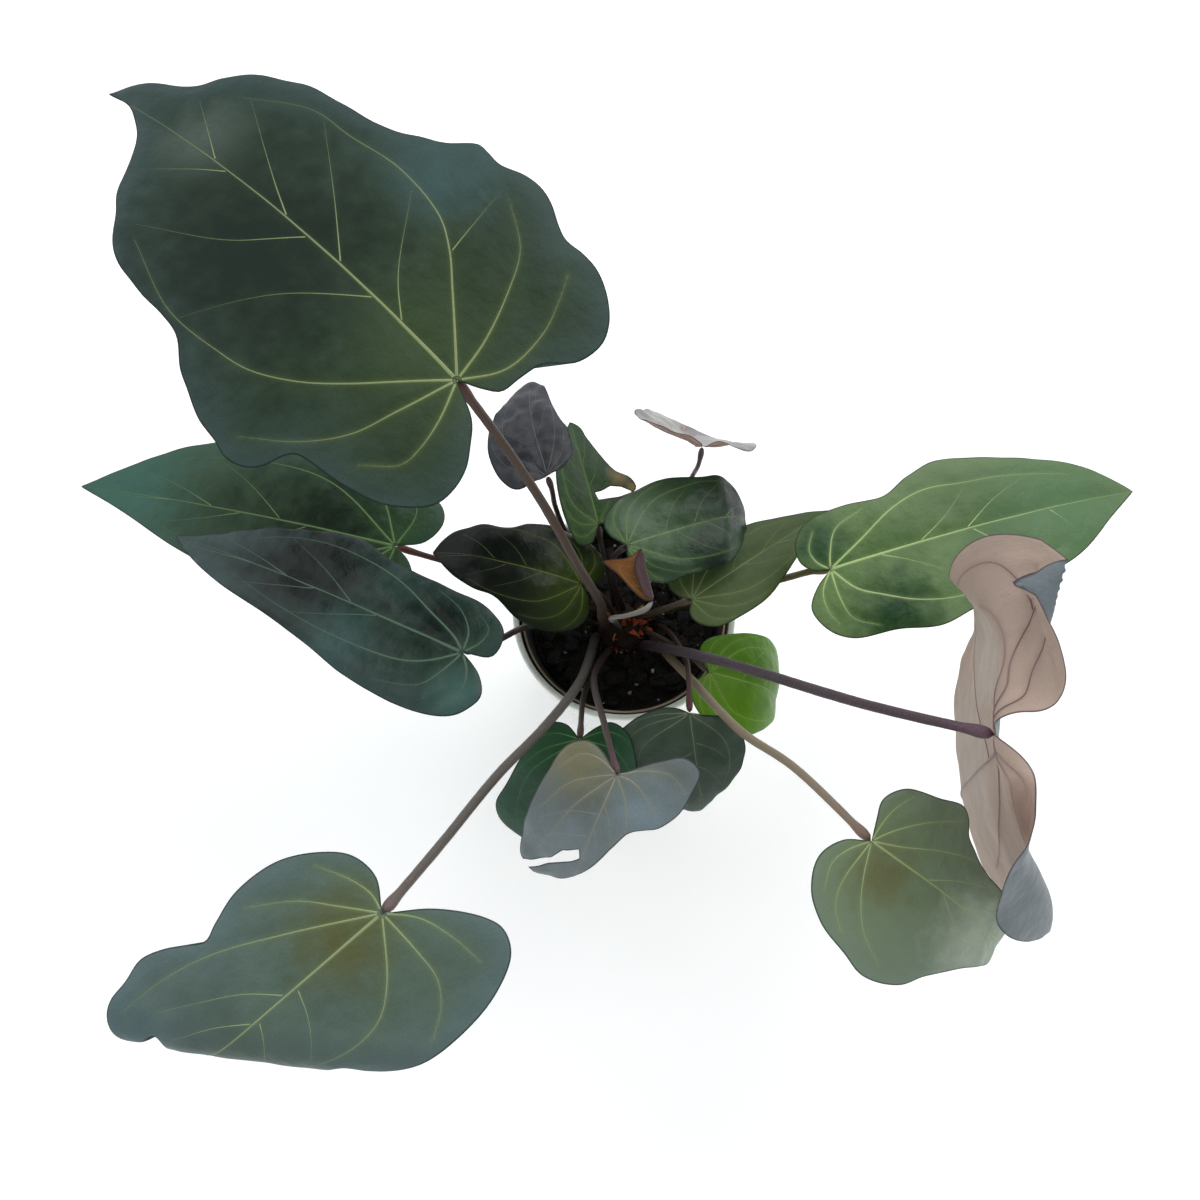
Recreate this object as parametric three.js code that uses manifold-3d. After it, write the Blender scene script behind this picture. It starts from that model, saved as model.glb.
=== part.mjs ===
// A potted anthurium hybrid: eighteen heart-shaped leaves on long petioles that rise from one
// crown, in a plastic nursery pot of bark mix that stands inside a white glazed outer pot.
// Millimetres, +Z up. The origin is the middle of the outer pot's foot, on the table, and the
// longest leaf reaches up and back, towards -X and +Y.
import * as THREE from "three";
import { mergeVertices } from "three/addons/utils/BufferGeometryUtils.js";
import Module from "manifold-3d";

const wasm = await Module();
wasm.setup();

// The outer pot: round, slightly flared, with a thick rolled rim and a flat closed foot.
const POT_HEIGHT = 130;
const POT_RIM_RADIUS = 71;
const POT_OPENING_RADIUS = 67;
const POT_FOOT_RADIUS = 55;
const POT_WALL = 3.5;
const POT_FLOOR = 5;
const POT_SIDES = 36;

// The nursery pot inside it, thin black plastic with a turned-out lip.
const LINER_HEIGHT = 119;
const LINER_RIM_RADIUS = 65.4;
const LINER_FOOT_RADIUS = 47;
const LINER_WALL = 1.4;
const LINER_FLOOR = 2;
const LINER_BASE = POT_FLOOR + 0.3;
const LINER_SIDES = 32;

// The potting mix: bark, charcoal and perlite, filled to a little under the liner's lip.
const MIX_TOP = 109;
const MIX_BUMP = 1.6;
const BARK_CHIPS = 14;
const PERLITE_CRUMBS = 6;

// The crown: a short stem, half sunk in the mix, with torn papery fibres round it.
const CROWN_TOP = 120;
const CROWN_FOOT = 86;
const CROWN_RADIUS = 17;
const CROWN_CENTRE = [-1, -5];
const FIBRE_STRIPS = 10;

// Leaves: blade thickness, the clearance between touching pieces, and the mesh density.
const BLADE_THICKNESS = 0.8;
const GAP = 0.3;
const FINEST = 0.02;
const PETIOLE_FOOT = 98;
const STEPS = 48;
const SECTION_STEPS = 12;
const LEAST_COLUMNS = 11;
const LEAST_ROWS = 4;
const ROW_SPACING = 40;
const CREASED_FINER = 0.6;

// Each leaf is a flat outline that is bent into its form. In the flat leaf, s runs from the joint
// (where the petiole meets the blade) to the tip and t runs to the left of the midrib.
//   joint      where the joint is; heading, pitch: the midrib's compass and climb angles, degrees
//   swing      how far the heading turns by the tip; lobe: how much the lobes behind the joint dip
//   roll       turn about the midrib; turn: how far the midrib is turned against the outline
//   cup, curl  rise of the left and right half beside the midrib, and its change by the width
//   creases    [from s, from t, toward, over, turned]: past the line through that flat point,
//              the blade turns up or down by an angle, on an arc that is over long
//   hole       outline of an eaten hole or slit
//   petiole    its route from the crown to the joint; thick: its radius at the foot and the top
const LEAVES = [
  { // the largest leaf, spread out behind the pot
    colour: "#2f4a45", petioleColour: "#6b5a50",
    joint: [-85, 37, 385], heading: 133, length: 279, pitch: [6, -2, -12, -22],
    swing: 8, lobe: -6, cup: [5, 5], curl: [-14, -14], width: 105,
    left: [[-17, 8], [-36, 22], [-44, 41], [-24, 71], [4, 78], [20, 81], [33, 101], [48, 109],
      [82, 103], [121, 85], [174, 74], [203, 50], [225, 24], [244, 8], [279, 0]],
    right: [[-17, -9], [-22, -32], [-33, -58], [-24, -81], [6, -92], [42, -102], [88, -98],
      [110, -79], [150, -67], [200, -55], [225, -32], [252, -17], [279, 0]],
    petiole: [[-10, -6, 112], [-14, -11, 150], [-15, -13, 185], [-30, -4, 240], [-46, 10, 290],
      [-66, 25, 340]],
    thick: [3.4, 2.6],
  },
  { // a long leaf low at the left, mostly under the largest one
    colour: "#41645c", petioleColour: "#5a3a30",
    joint: [-142, 31, 165], heading: 167, length: 214, pitch: [5, -5, -15],
    cup: [4, 4], curl: [-14, -14], width: 50,
    left: [[-10, 7], [-15, 18], [-6, 30], [30, 41], [75, 44], [110, 38], [137, 30], [178, 13],
      [214, 0]],
    right: [[-17, -7], [-25, -22], [-20, -34], [10, -46], [60, -52], [110, -48], [143, -40],
      [179, -20], [214, 0]],
    petiole: [[-16, 4, 112], [-52, 12, 134], [-90, 20, 150], [-122, 26, 160]],
    thick: [2.6, 2.0],
  },
  { // a long glossy leaf at the left
    colour: "#2e4a45", petioleColour: "#4a3a34",
    joint: [-94, -52, 215], heading: 154, length: 215, pitch: [-4, -12, -28],
    cup: [12, 12], curl: [-30, -30], width: 42,
    left: [[-15, 8], [-22, 20], [-13, 35], [10, 43], [57, 41], [81, 35], [118, 27], [159, 20],
      [190, 11], [215, 0]],
    right: [[-17, -5], [-17, -20], [-2, -30], [30, -32], [62, -33], [94, -39], [126, -31],
      [160, -19], [182, -9], [215, 0]],
    petiole: [[-18, -4, 112], [-36, -13, 150], [-60, -25, 177], [-78, -42, 201]],
    thick: [2.6, 2.0],
  },
  { // a dark leaf over the left side of the pot
    colour: "#1c3a30", petioleColour: "#4a3a34",
    joint: [-26, -1, 186], heading: 166, length: 99, pitch: [19, -1, -36],
    cup: [8, 8], curl: [-40, -40], width: 34,
    left: [[-7, 8], [-9, 16], [-4, 27], [14, 34], [32, 32], [50, 22], [63, 20], [78, 14],
      [90, 6], [99, 0]],
    right: [[-11, -7], [-10, -17], [1, -29], [22, -33], [40, -30], [50, -24], [68, -22],
      [82, -17], [92, -9], [99, 0]],
    petiole: [[-6, 0, 112], [-8, -2, 140], [-16, -2, 172]],
    thick: [2.2, 1.8],
  },
  { // a small crinkled leaf at the back
    colour: "#4b4d57", petioleColour: "#3a2a34",
    joint: [-45, 38, 262], heading: 110, length: 78, pitch: [-5, -20, -45],
    cup: [8, 8], curl: [-14, -14], width: 26,
    left: [[-1, 10], [-3, 19], [5, 25], [22, 27], [38, 23], [51, 16], [63, 5], [73, -6],
      [78, -13]],
    right: [[1, -10], [8, -18], [25, -21], [38, -19], [50, -19], [66, -19], [78, -13]],
    petiole: [[-14, 11, 112], [-28, 28, 142], [-38, 40, 175], [-42, 39, 215], [-43, 37, 246]],
    thick: [2.0, 1.6],
  },
  { // a green leaf at the back with a hole eaten in from its margin
    colour: "#2f5236", petioleColour: "#3a3a2c",
    joint: [-16, 32, 200], heading: 104, length: 74, pitch: [-2, -10],
    cup: [5, 5], curl: [-14, -14], width: 35,
    left: [[-11, 7], [-10, 14], [2, 18], [24, 19], [44, 16], [62, 8], [74, 0]],
    right: [[0, -10], [8, -17], [14, -22], [18, -28], [26, -26], [33, -18], [44, -13],
      [60, -7], [68, -5], [74, 0]],
    hole: [[21, -3], [16, -4], [15, -17], [16, -25], [21, -19], [23, -13], [21, -7]],
    petiole: [[-6, 9, 112], [-10, 18, 150], [-15, 27, 185]],
    thick: [2.0, 1.7],
  },
  { // a glossy leaf right of the crown, its right margin folded under
    colour: "#3f5f52", petioleColour: "#3a2a30",
    joint: [0, 7, 232], heading: 22, length: 90, pitch: [-4, -8], swing: -8,
    cup: [6, 6], curl: [-25, -25], width: 34,
    creases: [[54, -13, -13.5, 8, -50], [5, -9, -121, 3, -60], [2.5, -13.3, -121, 3, 60]],
    left: [[-7, 9], [-7, 18], [2, 27], [20, 33], [38, 34], [55, 29], [66, 28], [76, 24],
      [84, 14], [88, 6], [90, 0]],
    right: [[-3, -10], [0, -17], [7, -24], [20, -30], [33, -29], [45, -28], [55, -27],
      [63, -26], [74, -20], [84, -10], [90, 0]],
    petiole: [[0, 6, 112], [-7, 10, 160], [-7, 8, 210]],
    thick: [2.2, 1.8],
  },
  { // a narrow dull leaf under it
    colour: "#4a5f45", petioleColour: "#5a4a34",
    joint: [38, -18, 208], heading: 37, length: 116, pitch: [-4, -14, -24],
    cup: [8, 8], curl: [-20, -20], width: 26,
    left: [[-5, 6], [-6, 14], [-2, 20], [17, 23], [47, 21], [63, 18], [81, 12], [100, 6],
      [116, 0]],
    right: [[-6, -6], [-6, -13], [2, -22], [18, -25], [39, -25], [56, -20], [75, -13],
      [98, -6], [116, 0]],
    petiole: [[6, 0, 112], [18, -8, 150], [30, -15, 190]],
    thick: [2.2, 1.8],
  },
  { // a long green leaf at the right
    colour: "#4b7a4c", petioleColour: "#7a6a40",
    joint: [118, -4, 222], heading: 18, length: 208, pitch: [2, -9, -24],
    cup: [8, 8], curl: [-20, -20], width: 48,
    left: [[-9, 2], [-15, 8], [-15, 19], [-5, 31], [20, 35], [44, 33], [63, 41], [85, 47],
      [110, 42], [140, 34], [170, 25], [190, 13], [208, 0]],
    right: [[-11, -8], [-19, -20], [-14, -34], [-2, -43], [25, -46], [50, -51], [73, -47],
      [110, -42], [150, -32], [180, -15], [208, 0]],
    petiole: [[14, 2, 112], [46, 4, 140], [93, 3, 183], [109, 0, 207]],
    thick: [2.8, 2.2],
  },
  { // a big leaf hanging upright at the right, its underside towards the pot
    colour: "#a38d84", petioleColour: "#4a404a",
    joint: [177, -128, 335], heading: 1, length: 200, pitch: [-70, -90, -86, -60],
    roll: [8, -1], lobe: 32, cup: [-3, 4], curl: [10, 43], width: 98,
    creases: [[34, 46, 115, 29, -53], [-7, -59, -105, 15, -73], [-16, 59, 161, 16, -46],
      [-18, -11, 151, 22, 90]],
    left: [[-24, 6], [-52, 30], [-51, 61], [-32, 87], [0, 98], [36, 99], [75, 89], [140, 65],
      [193, 0]],
    right: [[-22, -6], [-47, -27], [-47, -56], [-29, -81], [0, -100], [37, -101], [75, -89],
      [139, -65], [193, 0]],
    petiole: [[12, -18, 112], [22, -30, 150], [43, -48, 195], [68, -69, 240],
      [122, -106, 305]],
    thick: [3.8, 2.8],
  },
  { // a leaf at the lower right, its tip turned down
    colour: "#4a5f58", petioleColour: "#8a7a5c",
    joint: [124, -170, 276], heading: -31, length: 144, pitch: [-22, -26, -54, -104],
    cup: [6, 6], curl: [-18, -18], width: 60,
    left: [[-4, 11], [-6, 21], [2, 33], [22, 40], [37, 45], [43, 41], [48, 33], [55, 29],
      [62, 25], [70, 23], [82, 22], [95, 21], [110, 18], [128, 12], [144, 0]],
    right: [[-14, -8], [-22, -22], [-17, -38], [-2, -50], [18, -56], [34, -60], [54, -53],
      [66, -41], [84, -27], [112, -13], [144, 0]],
    petiole: [[18, -12, 112], [28, -34, 142], [39, -57, 175], [65, -101, 222],
      [89, -123, 240]],
    thick: [3.2, 2.4],
  },
  { // a young lime green leaf over the rim
    colour: "#5fa038", petioleColour: "#6a8a3c",
    joint: [51, -48, 158], heading: -8, length: 84, pitch: [-18, -30, -70, -110],
    cup: [6, 6], curl: [-25, -25], width: 36,
    left: [[-8, 12], [-3, 21], [12, 28], [35, 34], [55, 34], [70, 24], [80, 10], [84, 0]],
    right: [[-9, -9], [-9, -18], [0, -28], [18, -34], [34, -32], [46, -26], [58, -18],
      [72, -8], [84, 0]],
    petiole: [[12, -8, 112], [26, -22, 138], [42, -38, 154]],
    thick: [2.0, 1.7],
  },
  { // a dark leaf at the front
    colour: "#2f3f3c", petioleColour: "#6e2a3c",
    joint: [36, -85, 205], heading: -80, length: 70, pitch: [-31, -41, -71],
    cup: [5, 5], curl: [-25, -25], width: 40,
    left: [[3, 9], [6, 20], [14, 28], [28, 30], [40, 26], [52, 17], [62, 7], [70, 0]],
    right: [[-5, -8], [-6, -18], [-1, -32], [8, -44], [20, -50], [36, -46], [52, -34],
      [64, -14], [70, 0]],
    petiole: [[21, -4, 112], [29, -18, 140], [36, -38, 162], [37, -52, 181]],
    thick: [2.0, 1.7],
  },
  { // a greyish leaf at the front, eaten at its tip
    colour: "#5f6f72", petioleColour: "#7a4a50",
    joint: [-6, -130, 250], heading: -116, length: 71, pitch: [-24, -39, -59],
    cup: [5, 5], curl: [-20, -20], width: 42,
    left: [[-17, 18], [-24, 30], [-20, 40], [-8, 41], [8, 39], [18, 32], [26, 20], [38, 14],
      [50, 10], [60, 6], [71, 0]],
    right: [[-8, -12], [-10, -22], [-2, -32], [17, -36], [40, -38], [60, -37], [74, -34],
      [84, -26], [82, -16], [76, -6], [71, 0]],
    hole: [[79, -31], [66, -16], [55, -11], [51, -3], [56, -1], [66, -12], [83, -27]],
    petiole: [[-8, -20, 112], [-15, -36, 140], [-19, -55, 167], [-12, -97, 215]],
    thick: [2.6, 2.0],
  },
  { // a leaf under it
    colour: "#2c5a46", petioleColour: "#6a4034",
    joint: [-27, -98, 195], heading: -103, length: 80, pitch: [-26, -43, -60],
    cup: [5, 5], curl: [-20, -20], width: 42,
    left: [[-9, 8], [-14, 16], [-10, 26], [4, 34], [26, 38], [46, 34], [62, 22], [73, 9],
      [80, 0]],
    right: [[-7, -9], [-6, -18], [4, -26], [20, -32], [40, -38], [54, -42], [64, -40],
      [71, -32], [77, -18], [80, 0]],
    petiole: [[-12, -26, 112], [-20, -46, 138], [-25, -63, 160]],
    thick: [2.2, 1.8],
  },
  { // a big leaf at the lower left, its outer end folded under
    colour: "#4a5f58", petioleColour: "#4a403c",
    joint: [-118, -213, 330], heading: -92, turn: -46, length: 175, pitch: [-6, -10],
    cup: [5, 5], curl: [-14, -14], width: 110, creases: [[42, 38, 41, 34, -104]],
    left: [[-20, 15], [-35, 34], [-38, 44], [-33, 55], [-15, 64], [9, 67], [34, 64], [55, 52],
      [64, 42], [80, 40], [105, 34], [140, 16], [160, 4], [175, -6]],
    right: [[-9, -15], [-7, -30], [4, -42], [22, -52], [45, -54], [62, -49], [70, -46],
      [79, -51.5], [88, -57], [100, -61], [112, -58], [123, -56], [132, -49], [136, -38],
      [130, -32], [118, -29], [124, -20], [140, -14], [158, -10], [175, -6]],
    petiole: [[-18, -12, 112], [-27, -56, 168], [-47, -95, 211], [-70, -129, 246],
      [-95, -175, 295]],
    thick: [3.4, 2.6],
  },
  { // a small leaf at the back, its face turned away
    colour: "#c5c8ce", petioleColour: "#4a2a3c",
    joint: [44, 63, 245], heading: 107, length: 72, pitch: [-68, -53, -54, -69],
    roll: [29, 52], lobe: 11, cup: [12, 23], curl: [-12, -8], width: 40,
    creases: [[50, -2, -10, 12, 32], [-3, 20, 94, 8, 12], [0, -18, -133, 12, -56]],
    left: [[-8, 2], [-15, 8], [-15, 18], [-11, 31], [0, 40], [16, 43], [30, 36], [51, 24],
      [69, 0]],
    right: [[-10, -3], [-15, -8], [-15, -18], [-10, -27], [0, -32], [12, -34], [26, -31],
      [50, -23], [69, 0]],
    petiole: [[6, 10, 112], [26, 44, 150], [40, 65, 190], [43, 61, 225]],
    thick: [1.8, 1.5],
  },
  { // a new bronze leaf, still folded along its midrib
    colour: "#a8601c", petioleColour: "#8a8a84",
    joint: [14, -32, 250], heading: 100, length: 35, pitch: [-14, -10],
    cup: [-5, 148], curl: [-10, -10], width: 14,
    left: [[1, 4], [8, 9], [18, 14], [27, 19], [34, 24], [33, 18], [31, 8], [35, 0]],
    right: [[2, -5], [8, -7], [16, -8], [24, -7], [30, -4], [35, 0]],
    petiole: [[-2, -7, 112], [-6, -13, 150], [-8, -25, 190], [-8, -35, 228], [0, -39, 245],
      [10, -37, 250]],
    thick: [1.7, 1.4],
  },
];

const radians = THREE.MathUtils.degToRad;
const clamp = THREE.MathUtils.clamp;
const smooth = (x) => THREE.MathUtils.smoothstep(x, 0, 1);

// A seeded random number generator, so that the chips and fibres always fall alike.
function randomSource(seed) {
  let state = seed;
  return () => {
    state = (Math.imul(state, 1664525) + 1013904223) >>> 0;
    return state / 4294967296;
  };
}

// The value of an evenly spaced list at a fraction of the leaf's length.
function station(values, fraction) {
  if (!Array.isArray(values)) return values;
  const k = clamp(fraction, 0, 1) * (values.length - 1);
  const i = Math.min(Math.floor(k), values.length - 2);
  return values[i] + (values[i + 1] - values[i]) * (k - i);
}

// The bent form of one leaf: it takes a point (s, t) of the flat leaf to its place in space.
class LeafForm {
  constructor(leaf) {
    this.leaf = { swing: 0, roll: 0, turn: 0, lobe: 0, creases: [], ...leaf };
    this.step = leaf.length / STEPS;
    this.ahead = this.walk(1, STEPS * 2);
    this.behind = this.walk(-1, STEPS);
  }

  // Points along the midrib, one step apart, forwards or backwards from the joint.
  walk(direction, count) {
    const points = [new THREE.Vector3(...this.leaf.joint)];
    for (let i = 0; i < count; i++) {
      const { along } = this.frame(direction * (i + 0.5) * this.step);
      points.push(points[i].clone().addScaledVector(along, direction * this.step));
    }
    return points;
  }

  // The directions along the midrib, across to the left, and up out of the blade.
  frame(s) {
    const leaf = this.leaf;
    const f = s / leaf.length;
    let pitch = station(leaf.pitch, f);
    if (f < 0) pitch = leaf.pitch[0] - leaf.lobe * Math.min(-f / 0.3, 1.5);
    const p = radians(pitch);
    const h = radians(leaf.heading + leaf.swing * clamp(f, 0, 1.1));
    const r = radians(station(leaf.roll, f));
    const level = Math.cos(p);
    const along = new THREE.Vector3(level * Math.cos(h), level * Math.sin(h), Math.sin(p));
    const across = new THREE.Vector3(-Math.sin(h), Math.cos(h), 0);
    const lift = new THREE.Vector3().crossVectors(along, across);
    across.multiplyScalar(Math.cos(r)).addScaledVector(lift, Math.sin(r));
    return { along, across, up: new THREE.Vector3().crossVectors(along, across) };
  }

  spine(s) {
    const points = s >= 0 ? this.ahead : this.behind;
    const k = Math.abs(s) / this.step;
    const i = Math.min(Math.floor(k), points.length - 2);
    return points[i].clone().lerp(points[i + 1], k - i);
  }

  // Folds the flat leaf across its creases: a point's new place there, and how high it stands.
  creased(s, t) {
    const place = new THREE.Vector2(s, t);
    let high = 0;
    for (const [fromS, fromT, toward, over, turned] of this.leaf.creases) {
      const direction = new THREE.Vector2(Math.cos(radians(toward)), Math.sin(radians(toward)));
      const past = direction.dot(new THREE.Vector2(place.x - fromS, place.y - fromT));
      if (past <= 0) continue;
      const angle = radians(turned);
      const bent = angle * Math.min(past / over, 1);
      const rest = Math.max(past - over, 0);
      const reach = (over / angle) * Math.sin(bent) + rest * Math.cos(angle);
      const rise = (over / angle) * (1 - Math.cos(bent)) + rest * Math.sin(angle);
      place.addScaledVector(direction, reach - past - high * Math.sin(bent));
      high = high * Math.cos(bent) + rise;
    }
    return [place, high];
  }

  // The tilt of the cross-section at the flat distance "far" from the midrib.
  slope(side, far) {
    const { cup, curl, width } = this.leaf;
    return radians(cup[side] + (curl[side] * far) / width);
  }

  point(s, t) {
    const [place, high] = this.creased(s, t);
    place.rotateAround(new THREE.Vector2(), radians(this.leaf.turn));
    const side = place.y >= 0 ? 0 : 1;
    const far = Math.abs(place.y);
    let out = 0;
    let height = 0;
    for (let i = 0; i < SECTION_STEPS; i++) {
      const angle = this.slope(side, ((i + 0.5) / SECTION_STEPS) * far);
      out += (Math.cos(angle) * far) / SECTION_STEPS;
      height += (Math.sin(angle) * far) / SECTION_STEPS;
    }
    const tilt = this.slope(side, far);
    out -= Math.sin(tilt) * high;
    height += Math.cos(tilt) * high;
    const { across, up } = this.frame(place.x);
    return this.spine(place.x)
      .addScaledVector(across, side === 0 ? out : -out)
      .addScaledVector(up, height);
  }

  normal(s, t) {
    const near = 0.5;
    const ds = this.point(s + near, t).sub(this.point(s - near, t));
    const dt = this.point(s, t + near).sub(this.point(s, t - near));
    return ds.cross(dt).normalize();
  }
}

// The outline of a leaf as evenly spaced flat points, from one side of the notch round to the other.
function margin(leaf) {
  const half = (points) => {
    const curve = new THREE.CatmullRomCurve3(
      [[0, 0], ...points].map(([s, t]) => new THREE.Vector3(s, t, 0)),
      false,
      "centripetal",
    );
    const spacing = (9 + leaf.length / 20) * (leaf.creases.length > 0 ? CREASED_FINER : 1);
    return curve.getSpacedPoints(Math.max(LEAST_COLUMNS, Math.round(curve.getLength() / spacing)));
  };
  const left = half(leaf.left).slice(1);
  const right = half(leaf.right).slice(1, -1).reverse();
  return [...left, ...right];
}

function geometryOf(points, triangles) {
  const geometry = new THREE.BufferGeometry().setFromPoints(points);
  geometry.setIndex(triangles);
  return geometry;
}

// A closed geometry as a solid that can be joined and cut.
function solidOf(geometry) {
  const bare = geometry.clone();
  bare.deleteAttribute("normal");
  bare.deleteAttribute("uv");
  const merged = mergeVertices(bare, 1e-4);
  return new wasm.Manifold(new wasm.Mesh({
    numProp: 3,
    vertProperties: merged.attributes.position.array,
    triVerts: new Uint32Array(merged.index.array),
  }));
}

// A solid's largest body as a geometry: scraps that a cut leaves loose are dropped, and edges
// shorter than FINEST are merged.
function geometryFrom(solid) {
  const bodies = solid.simplify(FINEST).decompose().sort((a, b) => b.volume() - a.volume());
  const mesh = bodies[0].getMesh();
  const geometry = new THREE.BufferGeometry();
  geometry.setAttribute("position", new THREE.BufferAttribute(mesh.vertProperties, mesh.numProp));
  geometry.setIndex(new THREE.BufferAttribute(mesh.triVerts, 1));
  return geometry;
}

const joined = (solids) => solids.reduce((whole, solid) => whole.add(solid));

// A thin blade: a fan of rays from the joint to the margin, on an upper and a lower face that are
// split into triangles alike, with a narrow wall round the margin and along both sides of the notch.
function bladeGeometry(form, thickness) {
  const outline = margin(form.leaf);
  const reach = Math.max(...outline.map((point) => point.length()));
  const spacing = ROW_SPACING * (form.leaf.creases.length > 0 ? CREASED_FINER : 1);
  const rows = Math.max(LEAST_ROWS, Math.round(reach / spacing));
  const points = [];
  const addPair = (s, t) => {
    const middle = form.point(s, t);
    const offset = form.normal(s, t).multiplyScalar(thickness / 2);
    points.push(middle.clone().add(offset), middle.sub(offset));
  };
  addPair(0, 0);
  for (const end of outline) {
    for (let row = 1; row <= rows; row++) addPair((end.x * row) / rows, (end.y * row) / rows);
  }
  const upper = (column, row) => (row === 0 ? 0 : 2 * (1 + column * rows + row - 1));
  const triangles = [];
  const addFace = (a, b, c) => triangles.push(a, b, c, a + 1, c + 1, b + 1);
  const addWall = (a, b) => triangles.push(a, b, b + 1, a, b + 1, a + 1);
  for (let column = 0; column < outline.length - 1; column++) {
    addFace(0, upper(column + 1, 1), upper(column, 1));
    for (let row = 1; row < rows; row++) {
      const far = upper(column + 1, row + 1);
      addFace(upper(column, row), upper(column + 1, row), far);
      addFace(upper(column, row), far, upper(column, row + 1));
    }
    addWall(upper(column, rows), upper(column + 1, rows));
  }
  for (let row = 0; row < rows; row++) {
    addWall(upper(0, row), upper(0, row + 1));
    addWall(upper(outline.length - 1, row + 1), upper(outline.length - 1, row));
  }
  return geometryOf(points, triangles);
}

// A prism through the blade with the outline of a hole, to be cut away.
function holeGeometry(form) {
  const flat = form.leaf.hole.map(([s, t]) => new THREE.Vector2(s, t));
  const faces = THREE.ShapeUtils.triangulateShape(flat, []);
  const depth = 3;
  const points = [];
  for (const { x, y } of flat) {
    const middle = form.point(x, y);
    const offset = form.normal(x, y).multiplyScalar(depth);
    points.push(middle.clone().add(offset), middle.sub(offset));
  }
  const turns = THREE.ShapeUtils.isClockWise(flat) ? -1 : 1;
  const triangles = [];
  const add = (a, b, c) => triangles.push(...(turns > 0 ? [a, b, c] : [a, c, b]));
  for (const [a, b, c] of faces) {
    const ordered = new THREE.Vector2().subVectors(flat[b], flat[a])
      .cross(new THREE.Vector2().subVectors(flat[c], flat[a])) * turns > 0;
    const [p, q] = ordered ? [b, c] : [c, b];
    add(2 * a, 2 * p, 2 * q);
    add(2 * a + 1, 2 * q + 1, 2 * p + 1);
  }
  flat.forEach((_, i) => {
    const j = (i + 1) % flat.length;
    add(2 * i, 2 * i + 1, 2 * j + 1);
    add(2 * i, 2 * j + 1, 2 * j);
  });
  return geometryOf(points, triangles);
}

// A round petiole along its route: tapered, with a swollen joint at the top that ends in a flat
// face just under the blade. "fat" makes it that much thicker, for the hole that it stands in.
function petioleGeometry(form, fat = 0) {
  const leaf = form.leaf;
  const [footX, footY] = leaf.petiole[0];
  const up = form.normal(0, 0);
  const end = form.point(0, 0).addScaledVector(up, -(BLADE_THICKNESS / 2 + GAP));
  const route = [[footX, footY, PETIOLE_FOOT], ...leaf.petiole];
  const curve = new THREE.CatmullRomCurve3(
    [...route.map((place) => new THREE.Vector3(...place)), end],
    false,
    "centripetal",
  );
  const length = curve.getLength();
  const segments = Math.max(8, Math.round(length / 18));
  const sides = leaf.thick[0] > 3 ? 7 : 6;
  const { normals, binormals } = curve.computeFrenetFrames(segments, false);
  const centres = curve.getSpacedPoints(segments);
  centres[0].z -= fat;
  const points = [];
  centres.forEach((centre, i) => {
    const along = i / segments;
    const swell = 1 + 0.25 * smooth((along * length - length + 16) / 10);
    const radius = THREE.MathUtils.lerp(leaf.thick[0], leaf.thick[1], along) * swell + fat;
    const a = normals[i].clone();
    const b = binormals[i].clone();
    if (i === segments) {
      a.addScaledVector(up, -a.dot(up)).normalize();
      b.crossVectors(up, a);
    }
    for (let k = 0; k < sides; k++) {
      const angle = (2 * Math.PI * k) / sides;
      points.push(centre.clone()
        .addScaledVector(a, radius * Math.cos(angle))
        .addScaledVector(b, radius * Math.sin(angle)));
    }
  });
  const triangles = [];
  for (let i = 0; i < segments; i++) {
    for (let k = 0; k < sides; k++) {
      const a = i * sides + k;
      const b = i * sides + ((k + 1) % sides);
      triangles.push(a, b, b + sides, a, b + sides, a + sides);
    }
  }
  const top = segments * sides;
  for (let k = 1; k < sides - 1; k++) {
    triangles.push(0, k + 1, k, top, top + k, top + k + 1);
  }
  return geometryOf(points, triangles);
}

// A turned shape from its profile of [radius, height] points.
function lathe(profile, sides) {
  const points = profile.map(([radius, height]) => new THREE.Vector2(radius, height));
  const geometry = new THREE.LatheGeometry(points, sides);
  geometry.rotateX(Math.PI / 2);
  return geometryFrom(solidOf(geometry));
}

function outerPotGeometry() {
  const rim = (POT_RIM_RADIUS - POT_OPENING_RADIUS) / 2;
  const middle = POT_OPENING_RADIUS + rim;
  const profile = [[0, 0], [POT_FOOT_RADIUS - 2, 0], [POT_FOOT_RADIUS, 2]];
  profile.push([POT_FOOT_RADIUS + 9, POT_HEIGHT * 0.55], [POT_RIM_RADIUS - 1, POT_HEIGHT - 8]);
  for (let k = 0; k <= 4; k++) {
    const angle = (Math.PI * k) / 4;
    profile.push([middle + rim * Math.cos(angle), POT_HEIGHT - 3 + 3 * Math.sin(angle)]);
  }
  profile.push([POT_OPENING_RADIUS - 0.4, POT_HEIGHT - 9]);
  profile.push([POT_FOOT_RADIUS + 9 - POT_WALL, POT_HEIGHT * 0.55]);
  profile.push([POT_FOOT_RADIUS - POT_WALL, POT_FLOOR + 2]);
  profile.push([POT_FOOT_RADIUS - POT_WALL - 2, POT_FLOOR], [0, POT_FLOOR]);
  return lathe(profile, POT_SIDES);
}

// The inside radius of the nursery pot's wall at a height.
function linerInside(height) {
  const rise = (height - LINER_BASE) / LINER_HEIGHT;
  return THREE.MathUtils.lerp(LINER_FOOT_RADIUS, LINER_RIM_RADIUS - 3, rise) - LINER_WALL;
}

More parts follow.
